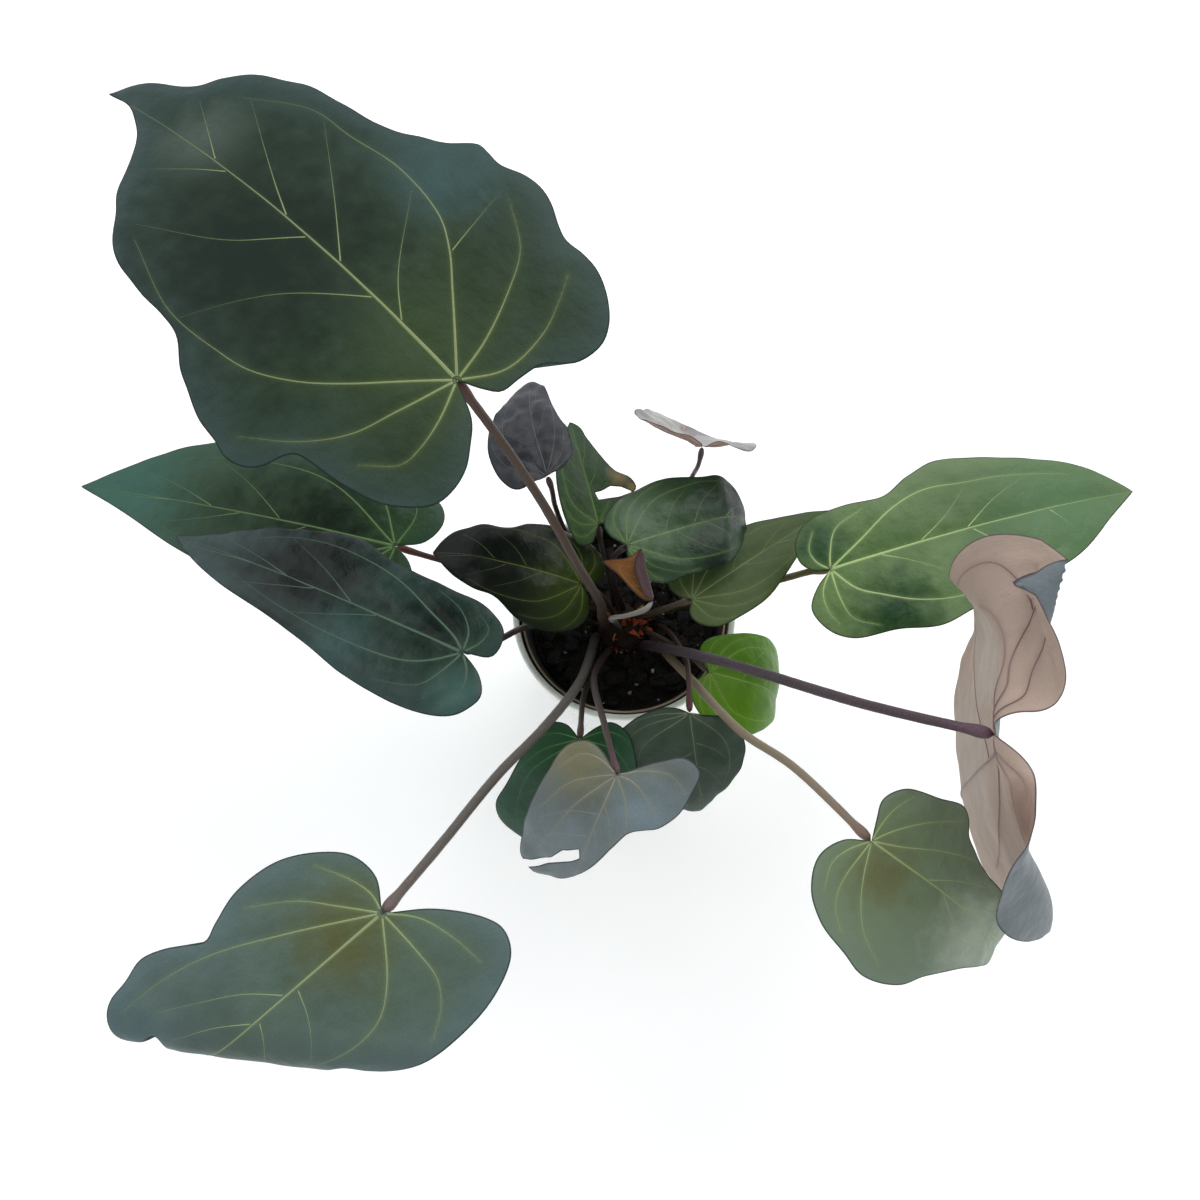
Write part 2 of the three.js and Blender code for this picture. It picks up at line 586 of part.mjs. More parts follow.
function nurseryPotGeometry() {
  const top = LINER_BASE + LINER_HEIGHT;
  return lathe([
    [0, LINER_BASE],
    [LINER_FOOT_RADIUS, LINER_BASE],
    [LINER_RIM_RADIUS - 3, top - 9],
    [LINER_RIM_RADIUS, top - 7],
    [LINER_RIM_RADIUS, top],
    [LINER_RIM_RADIUS - 1.8, top],
    [linerInside(top - 9), top - 9],
    [linerInside(LINER_BASE + LINER_FLOOR), LINER_BASE + LINER_FLOOR],
    [0, LINER_BASE + LINER_FLOOR],
  ], LINER_SIDES);
}

// The short stem, with a given amount of room round it.
function crownBody(room) {
  const profile = [[0, CROWN_FOOT - room], [CROWN_RADIUS - 4 + room, CROWN_FOOT - room],
    [CROWN_RADIUS + room, MIX_TOP - 6], [CROWN_RADIUS - 1 + room, MIX_TOP + 3],
    [CROWN_RADIUS - 6 + room, CROWN_TOP - 4 + room], [0, CROWN_TOP + room]];
  return solidOf(lathe(profile, 14)).translate(...CROWN_CENTRE, 0);
}

// Torn fibres: thin leaning strips with their roots sunk in the stem.
function crownSolid() {
  const random = randomSource(7);
  const strips = [];
  for (let i = 0; i < FIBRE_STRIPS; i++) {
    const around = (2 * Math.PI * (i + 0.5 * random())) / FIBRE_STRIPS;
    const height = 16 + 12 * random();
    const strip = new THREE.ConeGeometry(2.2 + 1.6 * random(), height, 4);
    strip.rotateX(Math.PI / 2).scale(1, 0.4, 1).translate(0, 0, height / 2);
    strip.rotateX(radians(-12 - 22 * random())).rotateZ(around - Math.PI / 2);
    const away = (0.3 + 0.5 * random()) * CROWN_RADIUS;
    const [x, y] = CROWN_CENTRE;
    strip.translate(x + away * Math.cos(around), y + away * Math.sin(around), CROWN_TOP - 10);
    strips.push(solidOf(strip));
  }
  return joined([crownBody(0), ...strips]);
}

// The mix: a plug with a bumpy top, with bark chips and perlite crumbs sunk into it.
function mixSolid() {
  const random = randomSource(3);
  const bottom = LINER_BASE + LINER_FLOOR + GAP;
  const rings = 5;
  const spokes = 26;
  const points = [new THREE.Vector3(0, 0, bottom), new THREE.Vector3(0, 0, MIX_TOP)];
  const radiusAt = (height) => linerInside(height) - GAP;
  for (let ring = 0; ring <= rings; ring++) {
    for (let spoke = 0; spoke < spokes; spoke++) {
      const angle = (2 * Math.PI * spoke) / spokes;
      const floor = ring === 0;
      const radius = floor ? radiusAt(bottom) : (radiusAt(MIX_TOP - 3) * (rings + 1 - ring)) / rings;
      const bump = ring === 1 ? -3 : MIX_BUMP * (random() - 0.5) * 2;
      const height = floor ? bottom : MIX_TOP + bump;
      points.push(new THREE.Vector3(radius * Math.cos(angle), radius * Math.sin(angle), height));
    }
  }
  const triangles = [];
  for (let spoke = 0; spoke < spokes; spoke++) {
    const next = (spoke + 1) % spokes;
    const last = 2 + rings * spokes;
    triangles.push(0, 2 + next, 2 + spoke, 1, last + spoke, last + next);
    for (let ring = 0; ring < rings; ring++) {
      const a = 2 + ring * spokes + spoke;
      const b = 2 + ring * spokes + next;
      triangles.push(a, b, b + spokes, a, b + spokes, a + spokes);
    }
  }
  const pieces = [solidOf(geometryOf(points, triangles))];
  const place = (geometry, sunk) => {
    const angle = 2 * Math.PI * random();
    const away = THREE.MathUtils.lerp(24, 49, Math.sqrt(random()));
    geometry.translate(away * Math.cos(angle), away * Math.sin(angle), MIX_TOP + sunk);
    pieces.push(solidOf(geometry));
  };
  for (let i = 0; i < BARK_CHIPS; i++) {
    const chip = new THREE.BoxGeometry(8 + 7 * random(), 5 + 4 * random(), 3 + 2 * random());
    chip.rotateX(radians(40 * (random() - 0.5))).rotateY(radians(50 * (random() - 0.5)));
    place(chip.rotateZ(Math.PI * random()), 1);
  }
  for (let i = 0; i < PERLITE_CRUMBS; i++) {
    const crumb = new THREE.OctahedronGeometry(2 + 1.4 * random());
    place(crumb.rotateX(3 * random()).rotateY(3 * random()), 1.4);
  }
  return joined(pieces);
}

const plant = new THREE.Group();
plant.name = "potted_anthurium_hybrid";

function addNode(name, geometry, colour, roughness = 0.6) {
  const flat = geometry.index ? geometry.toNonIndexed() : geometry;
  flat.computeVertexNormals();
  const material = new THREE.MeshStandardMaterial({ color: colour, roughness, metalness: 0 });
  const mesh = new THREE.Mesh(flat, material);
  mesh.name = name;
  plant.add(mesh);
}

const sockets = [];
LEAVES.forEach((leaf, index) => {
  const form = new LeafForm(leaf);
  const name = "leaf_" + String(index + 1).padStart(2, "0");
  let blade = solidOf(bladeGeometry(form, BLADE_THICKNESS));
  if (leaf.hole) blade = blade.subtract(solidOf(holeGeometry(form)));
  sockets.push(solidOf(petioleGeometry(form, GAP)));
  addNode(name + "_blade", geometryFrom(blade), leaf.colour, 0.5);
  addNode(name + "_petiole", petioleGeometry(form), leaf.petioleColour, 0.5);
});

const socketed = joined(sockets);
const mix = mixSolid().subtract(crownBody(GAP)).subtract(socketed);
addNode("crown_stem", geometryFrom(crownSolid().subtract(socketed)), "#4a2a1c", 0.9);
addNode("potting_mix", geometryFrom(mix), "#241c18", 0.95);
addNode("nursery_pot", nurseryPotGeometry(), "#1c1a1a", 0.5);
addNode("outer_pot", outerPotGeometry(), "#e8e8e6", 0.15);

export default plant;
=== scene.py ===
import math
import random

import bmesh
import bpy
import numpy as np
from mathutils import Euler, Matrix, Vector, noise


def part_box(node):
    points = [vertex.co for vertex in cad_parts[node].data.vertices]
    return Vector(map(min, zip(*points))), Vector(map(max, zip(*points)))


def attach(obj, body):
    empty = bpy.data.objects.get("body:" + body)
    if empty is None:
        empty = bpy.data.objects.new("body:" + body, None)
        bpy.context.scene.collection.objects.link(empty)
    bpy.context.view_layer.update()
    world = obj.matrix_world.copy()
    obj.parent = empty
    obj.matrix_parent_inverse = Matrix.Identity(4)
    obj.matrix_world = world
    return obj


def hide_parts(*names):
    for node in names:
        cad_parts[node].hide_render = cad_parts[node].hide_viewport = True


bl_info = {
    "name": "Potted anthurium hybrid",
    "version": (1, 0, 0),
    "blender": (4, 5, 0),
    "location": "View3D > Sidebar > Anthurium",
    "description": "Leaves, petioles, potting mix and pots of a potted anthurium hybrid",
    "category": "Object",
}

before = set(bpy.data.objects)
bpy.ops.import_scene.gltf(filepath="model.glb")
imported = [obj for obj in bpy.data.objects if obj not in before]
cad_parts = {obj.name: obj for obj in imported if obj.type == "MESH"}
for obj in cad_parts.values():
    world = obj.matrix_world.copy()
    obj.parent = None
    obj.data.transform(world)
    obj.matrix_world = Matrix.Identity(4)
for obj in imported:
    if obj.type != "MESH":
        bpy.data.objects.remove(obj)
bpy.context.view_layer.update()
ROOT = "root"

# Lengths are in millimetres, and MM turns them into metres.
MM = 0.001
BLADE_THICKNESS = 0.7
MARGIN_TAPER = 1.4
FACE_SIZE = 1.9
LINE_SPACING = 1.5
VEIN_STEP = 2.4
VEIN_SIDES = 8
PETIOLE_FOOT = 98
PETIOLE_STEP = 3
PETIOLE_SIDES = 14
SLIMMER = 0.9
MIX_TOP = 109
MIX_RADIUS = 58.6
CROWN_CENTRE = (-1, -5)
SEAM = 0.002

# The meshes carry flat places in units of this many millimetres, for the finishes.
FLAT_UNIT = 100

# Steps along the midrib from the joint to the tip, and across half a blade.
STEPS = 48
SECTION_STEPS = 12

# How wide a vein is at its start and at its end, and how far it stands out above and below against
# the midrib: for the midrib, the ribs and the rungs.
VEIN_KINDS = ((2.6, 0.5, 1.0, 1.0), (1.9, 0.4, 0.8, 0.7), (1.2, 0.35, 0.6, 0.4))

# The camera looks down on the plant from the front.
CAMERA_PLACE = (-0.01525, -0.30021, 1.07656)
CAMERA_TILT = 18
CAMERA_ANGLE = 42

# The lights' places and sides in metres, their share of the key light's power, and where they aim.
LIGHTS = (("key", (0.7, 1.2, 1.75), 1.7, 1.0), ("fill", (-1.2, 0.7, 1.9), 1.9, 0.5))
LIGHTS_MEET = Vector((0, 0, 0.25))

# One row for each leaf, in millimetres and degrees. In the flat leaf, s runs from the joint to the
# tip and t to the left of the midrib. The blade is bent along its midrib by heading, pitch, swing,
# roll and turn, behind its joint by lobe, across by cup and by curl over its width, and folded at its
# creases: past a line through s, t, towards an angle, over a distance, by an angle. left and right
# are its outlines and hole is an eaten place. quilt is how far it stands up between its veins, ruffle
# and crinkle are the height and size of the waves at its margin and all over it, and finer scales the
# size of its faces. petiole is the route from the crown, and thick its radius at foot and top.
LEAVES = (
    dict(
        joint=(-85, 37, 385), heading=133, length=279, pitch=(6, -2, -12, -22), swing=8, lobe=-6, cup=5,
        curl=-14, width=105, thick=(3.4, 2.6),
        left=((-20, 8), (-30, 18), (-37, 27), (-41, 39), (-40, 51), (-26, 67), (-5, 76), (19, 81),
            (24, 83), (28, 89), (31, 98), (38, 105), (48, 108), (59, 106), (74, 104), (89, 98),
            (101, 93), (117, 82), (132, 79), (149, 78), (161, 76), (176, 73), (188, 67), (200, 54),
            (212, 44), (220, 31), (224, 24), (234, 12), (246, 4), (259, -2), (281, -3)),
        right=((-13, -7), (-19, -12), (-20, -24), (-22, -37), (-32, -50), (-33, -66), (-27, -77),
            (-16, -86), (-3, -92), (10, -93), (20, -92), (28, -95), (39, -101), (50, -104), (59, -103),
            (72, -98), (82, -99), (89, -99), (99, -88), (111, -81), (121, -75), (140, -70), (158, -68),
            (177, -66), (194, -60), (208, -54), (222, -42), (232, -31), (264, -17), (281, -3)),
        petiole=((-10, -6, 112), (-14, -11, 150), (-15, -13, 185), (-30, -4, 240), (-46, 10, 290),
            (-66, 25, 340)),
    ),
    dict(
        joint=(-142, 31, 165), heading=167, length=214, pitch=(5, -5, -15), cup=4, curl=-14, width=50,
        thick=(2.6, 2),
        left=((-10, 7), (-15, 18), (-6, 30), (30, 41), (75, 44), (110, 38), (137, 30), (178, 13),
            (214, 0)),
        right=((-17, -7), (-25, -22), (-20, -34), (10, -46), (60, -52), (110, -48), (143, -40),
            (179, -20), (214, 0)),
        petiole=((-16, 4, 112), (-52, 12, 134), (-90, 20, 150), (-122, 26, 160)),
    ),
    dict(
        joint=(-94, -52, 215), heading=154, length=215, pitch=(-4, -12, -28), cup=12, curl=-30,
        width=42, quilt=1.0, ruffle=(1.6, 13), crinkle=(1.2, 22), thick=(2.6, 2),
        left=((-15, 8), (-22, 20), (-13, 35), (10, 43), (57, 41), (81, 35), (118, 27), (159, 20),
            (190, 11), (215, 0)),
        right=((-17, -5), (-17, -20), (-2, -30), (30, -32), (62, -33), (94, -39), (126, -31),
            (160, -19), (182, -9), (215, 0)),
        petiole=((-18, -4, 112), (-36, -13, 150), (-60, -25, 177), (-78, -42, 201)),
    ),
    dict(
        joint=(-26, -1, 186), heading=166, length=99, pitch=(19, -1, -36), cup=8, curl=-40, width=34,
        quilt=0.8, ruffle=(1.8, 13), crinkle=(1.6, 20), thick=(2.2, 1.8),
        left=((-7, 8), (-9, 16), (-4, 27), (14, 34), (32, 32), (50, 22), (63, 20), (78, 14), (90, 6),
            (99, 0)),
        right=((-11, -7), (-10, -17), (1, -29), (22, -33), (40, -30), (50, -24), (68, -22), (82, -17),
            (92, -9), (99, 0)),
        petiole=((-6, 0, 112), (-8, -2, 140), (-16, -2, 172)),
    ),
    dict(
        joint=(-45, 38, 262), heading=110, length=78, pitch=(-5, -20, -45), cup=8, curl=-14, width=26,
        quilt=1.2, ruffle=(1.5, 8), crinkle=(1.6, 7), thick=(2, 1.6),
        left=((-1, 10), (-3, 19), (5, 25), (22, 27), (38, 23), (51, 16), (63, 5), (73, -6), (78, -13)),
        right=((1, -10), (8, -18), (25, -21), (38, -19), (50, -19), (66, -19), (78, -13)),
        petiole=((-14, 11, 112), (-28, 28, 142), (-38, 40, 175), (-42, 39, 215), (-43, 37, 246)),
    ),
    dict(
        joint=(-16, 32, 200), heading=104, length=74, pitch=(-2, -10), cup=5, curl=-14, width=35,
        thick=(2, 1.7),
        left=((-11, 7), (-10, 14), (2, 18), (24, 19), (44, 16), (62, 8), (74, 0)),
        right=((0, -10), (8, -17), (14, -22), (18, -28), (26, -26), (33, -18), (44, -13), (60, -7),
            (68, -5), (74, 0)),
        hole=((21, -3), (16, -4), (15, -17), (16, -25), (21, -19), (23, -13), (21, -7)),
        petiole=((-6, 9, 112), (-10, 18, 150), (-15, 27, 185)),
    ),
    dict(
        joint=(0, 7, 232), heading=22, length=90, pitch=(-4, -8), swing=-8, cup=6, curl=-25, width=34,
        creases=((54, -13, -13.5, 8, -50), (5, -9, -121, 3, -60), (2.5, -13.3, -121, 3, 60)), quilt=0.5,
        ruffle=(1.2, 12), crinkle=(1.6, 20), finer=0.8, thick=(2.2, 1.8),
        left=((-7, 9), (-7, 18), (2, 27), (20, 33), (38, 34), (55, 29), (66, 28), (76, 24), (84, 14),
            (88, 6), (90, 0)),
        right=((-3, -10), (0, -17), (7, -24), (20, -30), (33, -29), (45, -28), (55, -27), (63, -26),
            (74, -20), (84, -10), (90, 0)),
        petiole=((0, 6, 112), (-7, 10, 160), (-7, 8, 210)),
    ),
    dict(
        joint=(38, -18, 208), heading=37, length=116, pitch=(-4, -14, -24), cup=8, curl=-20, width=26,
        thick=(2.2, 1.8),
        left=((-5, 6), (-6, 14), (-2, 20), (17, 23), (47, 21), (63, 18), (81, 12), (100, 6), (116, 0)),
        right=((-6, -6), (-6, -13), (2, -22), (18, -25), (39, -25), (56, -20), (75, -13), (98, -6),
            (116, 0)),
        petiole=((6, 0, 112), (18, -8, 150), (30, -15, 190)),
    ),
    dict(
        joint=(118, -4, 222), heading=18, length=208, pitch=(2, -9, -24), cup=8, curl=-20, width=48,
        thick=(2.8, 2.2),
        left=((-9, 2), (-15, 8), (-15, 19), (-5, 31), (20, 35), (44, 33), (63, 41), (85, 47), (110, 42),
            (140, 34), (170, 25), (190, 13), (208, 0)),
        right=((-11, -8), (-19, -20), (-14, -34), (-2, -43), (25, -46), (50, -51), (73, -47),
            (110, -42), (150, -32), (180, -15), (208, 0)),
        petiole=((14, 2, 112), (46, 4, 140), (93, 3, 183), (109, 0, 207)),
    ),
    dict(
        joint=(177, -128, 335), heading=1, length=200, pitch=(-70, -90, -86, -60), roll=(8, -1),
        lobe=32, cup=(-3, 4), curl=(10, 43), width=98, creases=((34, 46, 115, 29, -53),
        (-7, -59, -105, 15, -73), (-16, 59, 161, 16, -46), (-18, -11, 151, 22, 90)), finer=0.7,
        thick=(3.8, 2.8),
        left=((-24, 6), (-52, 30), (-51, 61), (-32, 87), (0, 98), (36, 99), (75, 89), (140, 65),
            (193, 0)),
        right=((-22, -6), (-47, -27), (-47, -56), (-29, -81), (0, -100), (37, -101), (75, -89),
            (139, -65), (193, 0)),
        petiole=((12, -18, 112), (22, -30, 150), (43, -48, 195), (68, -69, 240), (122, -106, 305)),
    ),
    dict(
        joint=(124, -170, 276), heading=-31, length=144, pitch=(-22, -26, -54, -104), cup=6, curl=-18,
        width=60, thick=(3.2, 2.4),
        left=((-4, 11), (-6, 21), (2, 33), (22, 40), (37, 45), (43, 41), (48, 33), (55, 29), (62, 25),
            (70, 23), (82, 22), (95, 21), (110, 18), (128, 12), (144, 0)),
        right=((-14, -8), (-22, -22), (-17, -38), (-2, -50), (18, -56), (34, -60), (54, -53), (66, -41),
            (84, -27), (112, -13), (144, 0)),
        petiole=((18, -12, 112), (28, -34, 142), (39, -57, 175), (65, -101, 222), (89, -123, 240)),
    ),
    dict(
        joint=(51, -48, 158), heading=-8, length=84, pitch=(-18, -30, -70, -110), cup=6, curl=-25,
        width=36, thick=(2, 1.7),
        left=((-8, 12), (-3, 21), (12, 28), (35, 34), (55, 34), (70, 24), (80, 10), (84, 0)),
        right=((-9, -9), (-9, -18), (0, -28), (18, -34), (34, -32), (46, -26), (58, -18), (72, -8),
            (84, 0)),
        petiole=((12, -8, 112), (26, -22, 138), (42, -38, 154)),
    ),
    dict(
        joint=(36, -85, 205), heading=-80, length=70, pitch=(-31, -41, -71), cup=5, curl=-25, width=40,
        quilt=0.8, ruffle=(1.5, 9), crinkle=(1.3, 14), thick=(2, 1.7),
        left=((3, 9), (6, 20), (14, 28), (28, 30), (40, 26), (52, 17), (62, 7), (70, 0)),
        right=((-5, -8), (-6, -18), (-1, -32), (8, -44), (20, -50), (36, -46), (52, -34), (64, -14),
            (70, 0)),
        petiole=((21, -4, 112), (29, -18, 140), (36, -38, 162), (37, -52, 181)),
    ),
    dict(
        joint=(-6, -130, 250), heading=-116, length=71, pitch=(-24, -39, -59), cup=5, curl=-20,
        width=42, quilt=0.9, ruffle=(1.8, 10), crinkle=(1.6, 15), thick=(2.6, 2),
        left=((-17, 18), (-24, 30), (-20, 40), (-8, 41), (8, 39), (18, 32), (26, 20), (38, 14),
            (50, 10), (60, 6), (71, 0)),
        right=((-8, -12), (-10, -22), (-2, -32), (17, -36), (40, -38), (60, -37), (74, -34), (84, -26),
            (82, -16), (76, -6), (71, 0)),
        hole=((79, -31), (66, -16), (55, -11), (51, -3), (56, -1), (66, -12), (83, -27)),
        petiole=((-8, -20, 112), (-15, -36, 140), (-19, -55, 167), (-12, -97, 215)),
    ),
    dict(
        joint=(-27, -98, 195), heading=-103, length=80, pitch=(-26, -43, -60), cup=5, curl=-20,
        width=42, thick=(2.2, 1.8),
        left=((-9, 8), (-14, 16), (-10, 26), (4, 34), (26, 38), (46, 34), (62, 22), (73, 9), (80, 0)),
        right=((-7, -9), (-6, -18), (4, -26), (20, -32), (40, -38), (54, -42), (64, -40), (71, -32),
            (77, -18), (80, 0)),
        petiole=((-12, -26, 112), (-20, -46, 138), (-25, -63, 160)),
    ),
    dict(
        joint=(-118, -213, 330), heading=-92, length=175, pitch=(-6, -10), turn=-46, cup=5, curl=-14,
        width=110, creases=((42, 38, 41, 34, -104),), finer=0.8, thick=(3.4, 2.6),
        left=((-20, 15), (-35, 34), (-38, 44), (-33, 55), (-15, 64), (9, 67), (34, 64), (55, 52),
            (64, 42), (80, 40), (105, 34), (140, 16), (160, 4), (175, -6)),
        right=((-9, -15), (-7, -30), (4, -42), (22, -52), (45, -54), (62, -49), (70, -46), (79, -51.5),
            (88, -57), (100, -61), (112, -58), (123, -56), (132, -49), (136, -38), (130, -32),
            (118, -29), (124, -20), (140, -14), (158, -10), (175, -6)),
        petiole=((-18, -12, 112), (-27, -56, 168), (-47, -95, 211), (-70, -129, 246), (-95, -175, 295)),
    ),
    dict(
        joint=(44, 63, 245), heading=107, length=72, pitch=(-68, -53, -54, -69), roll=(29, 52), lobe=11,
        cup=(12, 23), curl=(-12, -8), width=40, creases=((50, -2, -10, 12, 32), (-3, 20, 94, 8, 12),
        (0, -18, -133, 12, -56)), ruffle=(1.0, 9), crinkle=(1.0, 12), finer=0.7, thick=(1.8, 1.5),
        left=((-8, 2), (-15, 8), (-15, 18), (-11, 31), (0, 40), (16, 43), (30, 36), (51, 24), (69, 0)),
        right=((-10, -3), (-15, -8), (-15, -18), (-10, -27), (0, -32), (12, -34), (26, -31), (50, -23),
            (69, 0)),
        petiole=((6, 10, 112), (26, 44, 150), (40, 65, 190), (43, 61, 225)),
    ),
    dict(
        joint=(14, -32, 250), heading=100, length=35, pitch=(-14, -10), cup=(-5, 148), curl=-10,
        width=14, thick=(1.7, 1.4),
        left=((1, 4), (8, 9), (18, 14), (27, 19), (34, 24), (33, 18), (31, 8), (35, 0)),
        right=((2, -5), (8, -7), (16, -8), (24, -7), (30, -4), (35, 0)),
        petiole=((-2, -7, 112), (-6, -13, 150), (-8, -25, 190), (-8, -35, 228), (0, -39, 245),
            (10, -37, 250)),
    ),
)

# Measured veins of the leaves that show them well, as flat points: ribs start at the joint, and
# rungs branch off the midrib. The other leaves have the usual veins of a heart-shaped blade.
VEINS = {
    1: dict(
        ribs=(((36, -30), (53, -44), (71, -54), (104, -59), (138, -56), (166, -55), (203, -38)),
            ((6, -24), (18, -51), (30, -70), (54, -86)), ((-12, -22), (-10, -48), (-2, -66), (6, -80)),
            ((33, 40), (51, 57), (74, 70), (95, 74), (131, 75), (180, 58)), ((6, 31), (13, 57),
            (27, 77), (52, 97)), ((-10, 20), (-15, 37), (-15, 49), (-2, 64))),
        rungs=(((86, 0), (115, -24), (156, -55)), ((125, 0), (148, -12), (198, -41)), ((182, 0),
            (222, -25)), ((60, 3), (94, 32), (124, 76)), ((109, 3), (137, 28), (187, 53)), ((172, 2),
            (214, 27)), ((40, 2), (60, -16), (92, -56)), ((52, -43), (56, -66), (60, -85))),
    ),
    3: dict(
        ribs=(((8, -6), (28, -14), (52, -23), (82, -28), (120, -26), (160, -12)), ((2, -12), (12, -22),
            (30, -28)), ((-7, -9), (-8, -18), (0, -24)), ((14, 12), (29, 19), (55, 22), (84, 22),
            (120, 18), (160, 10)), ((4, 12), (14, 28), (40, 36)), ((-8, 10), (-10, 22), (-2, 33))),
    ),
    9: dict(
        ribs=(((22, 11), (49, 25), (70, 30), (95, 28), (127, 25), (165, 18)), ((3, 9), (11, 22),
            (30, 29)), ((-6, 6), (-8, 14), (-2, 25)), ((10, -16), (23, -24), (42, -33), (68, -38),
            (100, -34), (140, -26)), ((-1, -19), (2, -32), (16, -41)), ((-9, -12), (-10, -24),
            (-6, -34))),
        rungs=(((55, 1), (76, 11), (94, 25)), ((86, -2), (108, 13), (132, 22)), ((88, -3), (101, -12),
            (126, -20)), ((141, -2), (153, -17)), ((30, -1), (44, -8), (62, -20))),
    ),
    10: dict(
        ribs=(((-15, 18), (-10, 35), (-9, 52), (-9, 74), (-1, 86)), ((-25, 15), (-22, 35), (-22, 56)),
            ((-31, 8), (-33, 24), (-44, 46)), ((-6, 30), (-2, 44), (11, 63), (21, 73)), ((-34, -31),
            (-30, -44), (-24, -58)), ((-42, -30), (-46, -44), (-40, -56)), ((46, -18), (81, -40),
            (116, -50))),
        rungs=(((60, 20), (89, 43), (96, 69), (85, 87)), ((-9, 62), (3, 80), (9, 86), (21, 90),
            (54, 98)), ((-22, 50), (-26, 66), (-20, 78))),
    ),
    11: dict(
        ribs=(((15, 6), (39, 18), (62, 25), (100, 26)), ((7, 10), (21, 24), (44, 40)), ((0, 10),
            (2, 20), (8, 32)), ((5, -18), (11, -30), (21, -42), (38, -51)), ((-4, -27), (0, -39),
            (10, -48)), ((-10, -12), (-14, -22), (-10, -36))),
    ),
    14: dict(
        ribs=(((25, -14), (46, -20), (66, -26)), ((6, -10), (16, -22), (38, -32)), ((-4, -12),
            (-2, -22), (10, -30)), ((12, 10), (26, 16), (40, 12)), ((0, 10), (6, 21), (14, 30)),
            ((-9, 14), (-12, 26), (-6, 38))),
    ),
    16: dict(
        ribs=(((40, -23), (72, -39), (97, -46), (122, -48)), ((13, -16), (26, -31), (46, -45)),
            ((-2, -10), (1, -22), (9, -38)), ((19, 26), (32, 36), (47, 38), (76, 32)), ((-1, 25),
            (0, 40), (7, 51), (20, 60)), ((-12, 14), (-18, 32), (-20, 48))),
        rungs=(((57, -4), (72, -15), (90, -26), (110, -37)), ((51, 1), (56, 13), (64, 25), (71, 30)),
            ((74, -2), (79, 8), (91, 18)), ((76, -3), (93, -13), (114, -23))),
    ),
}


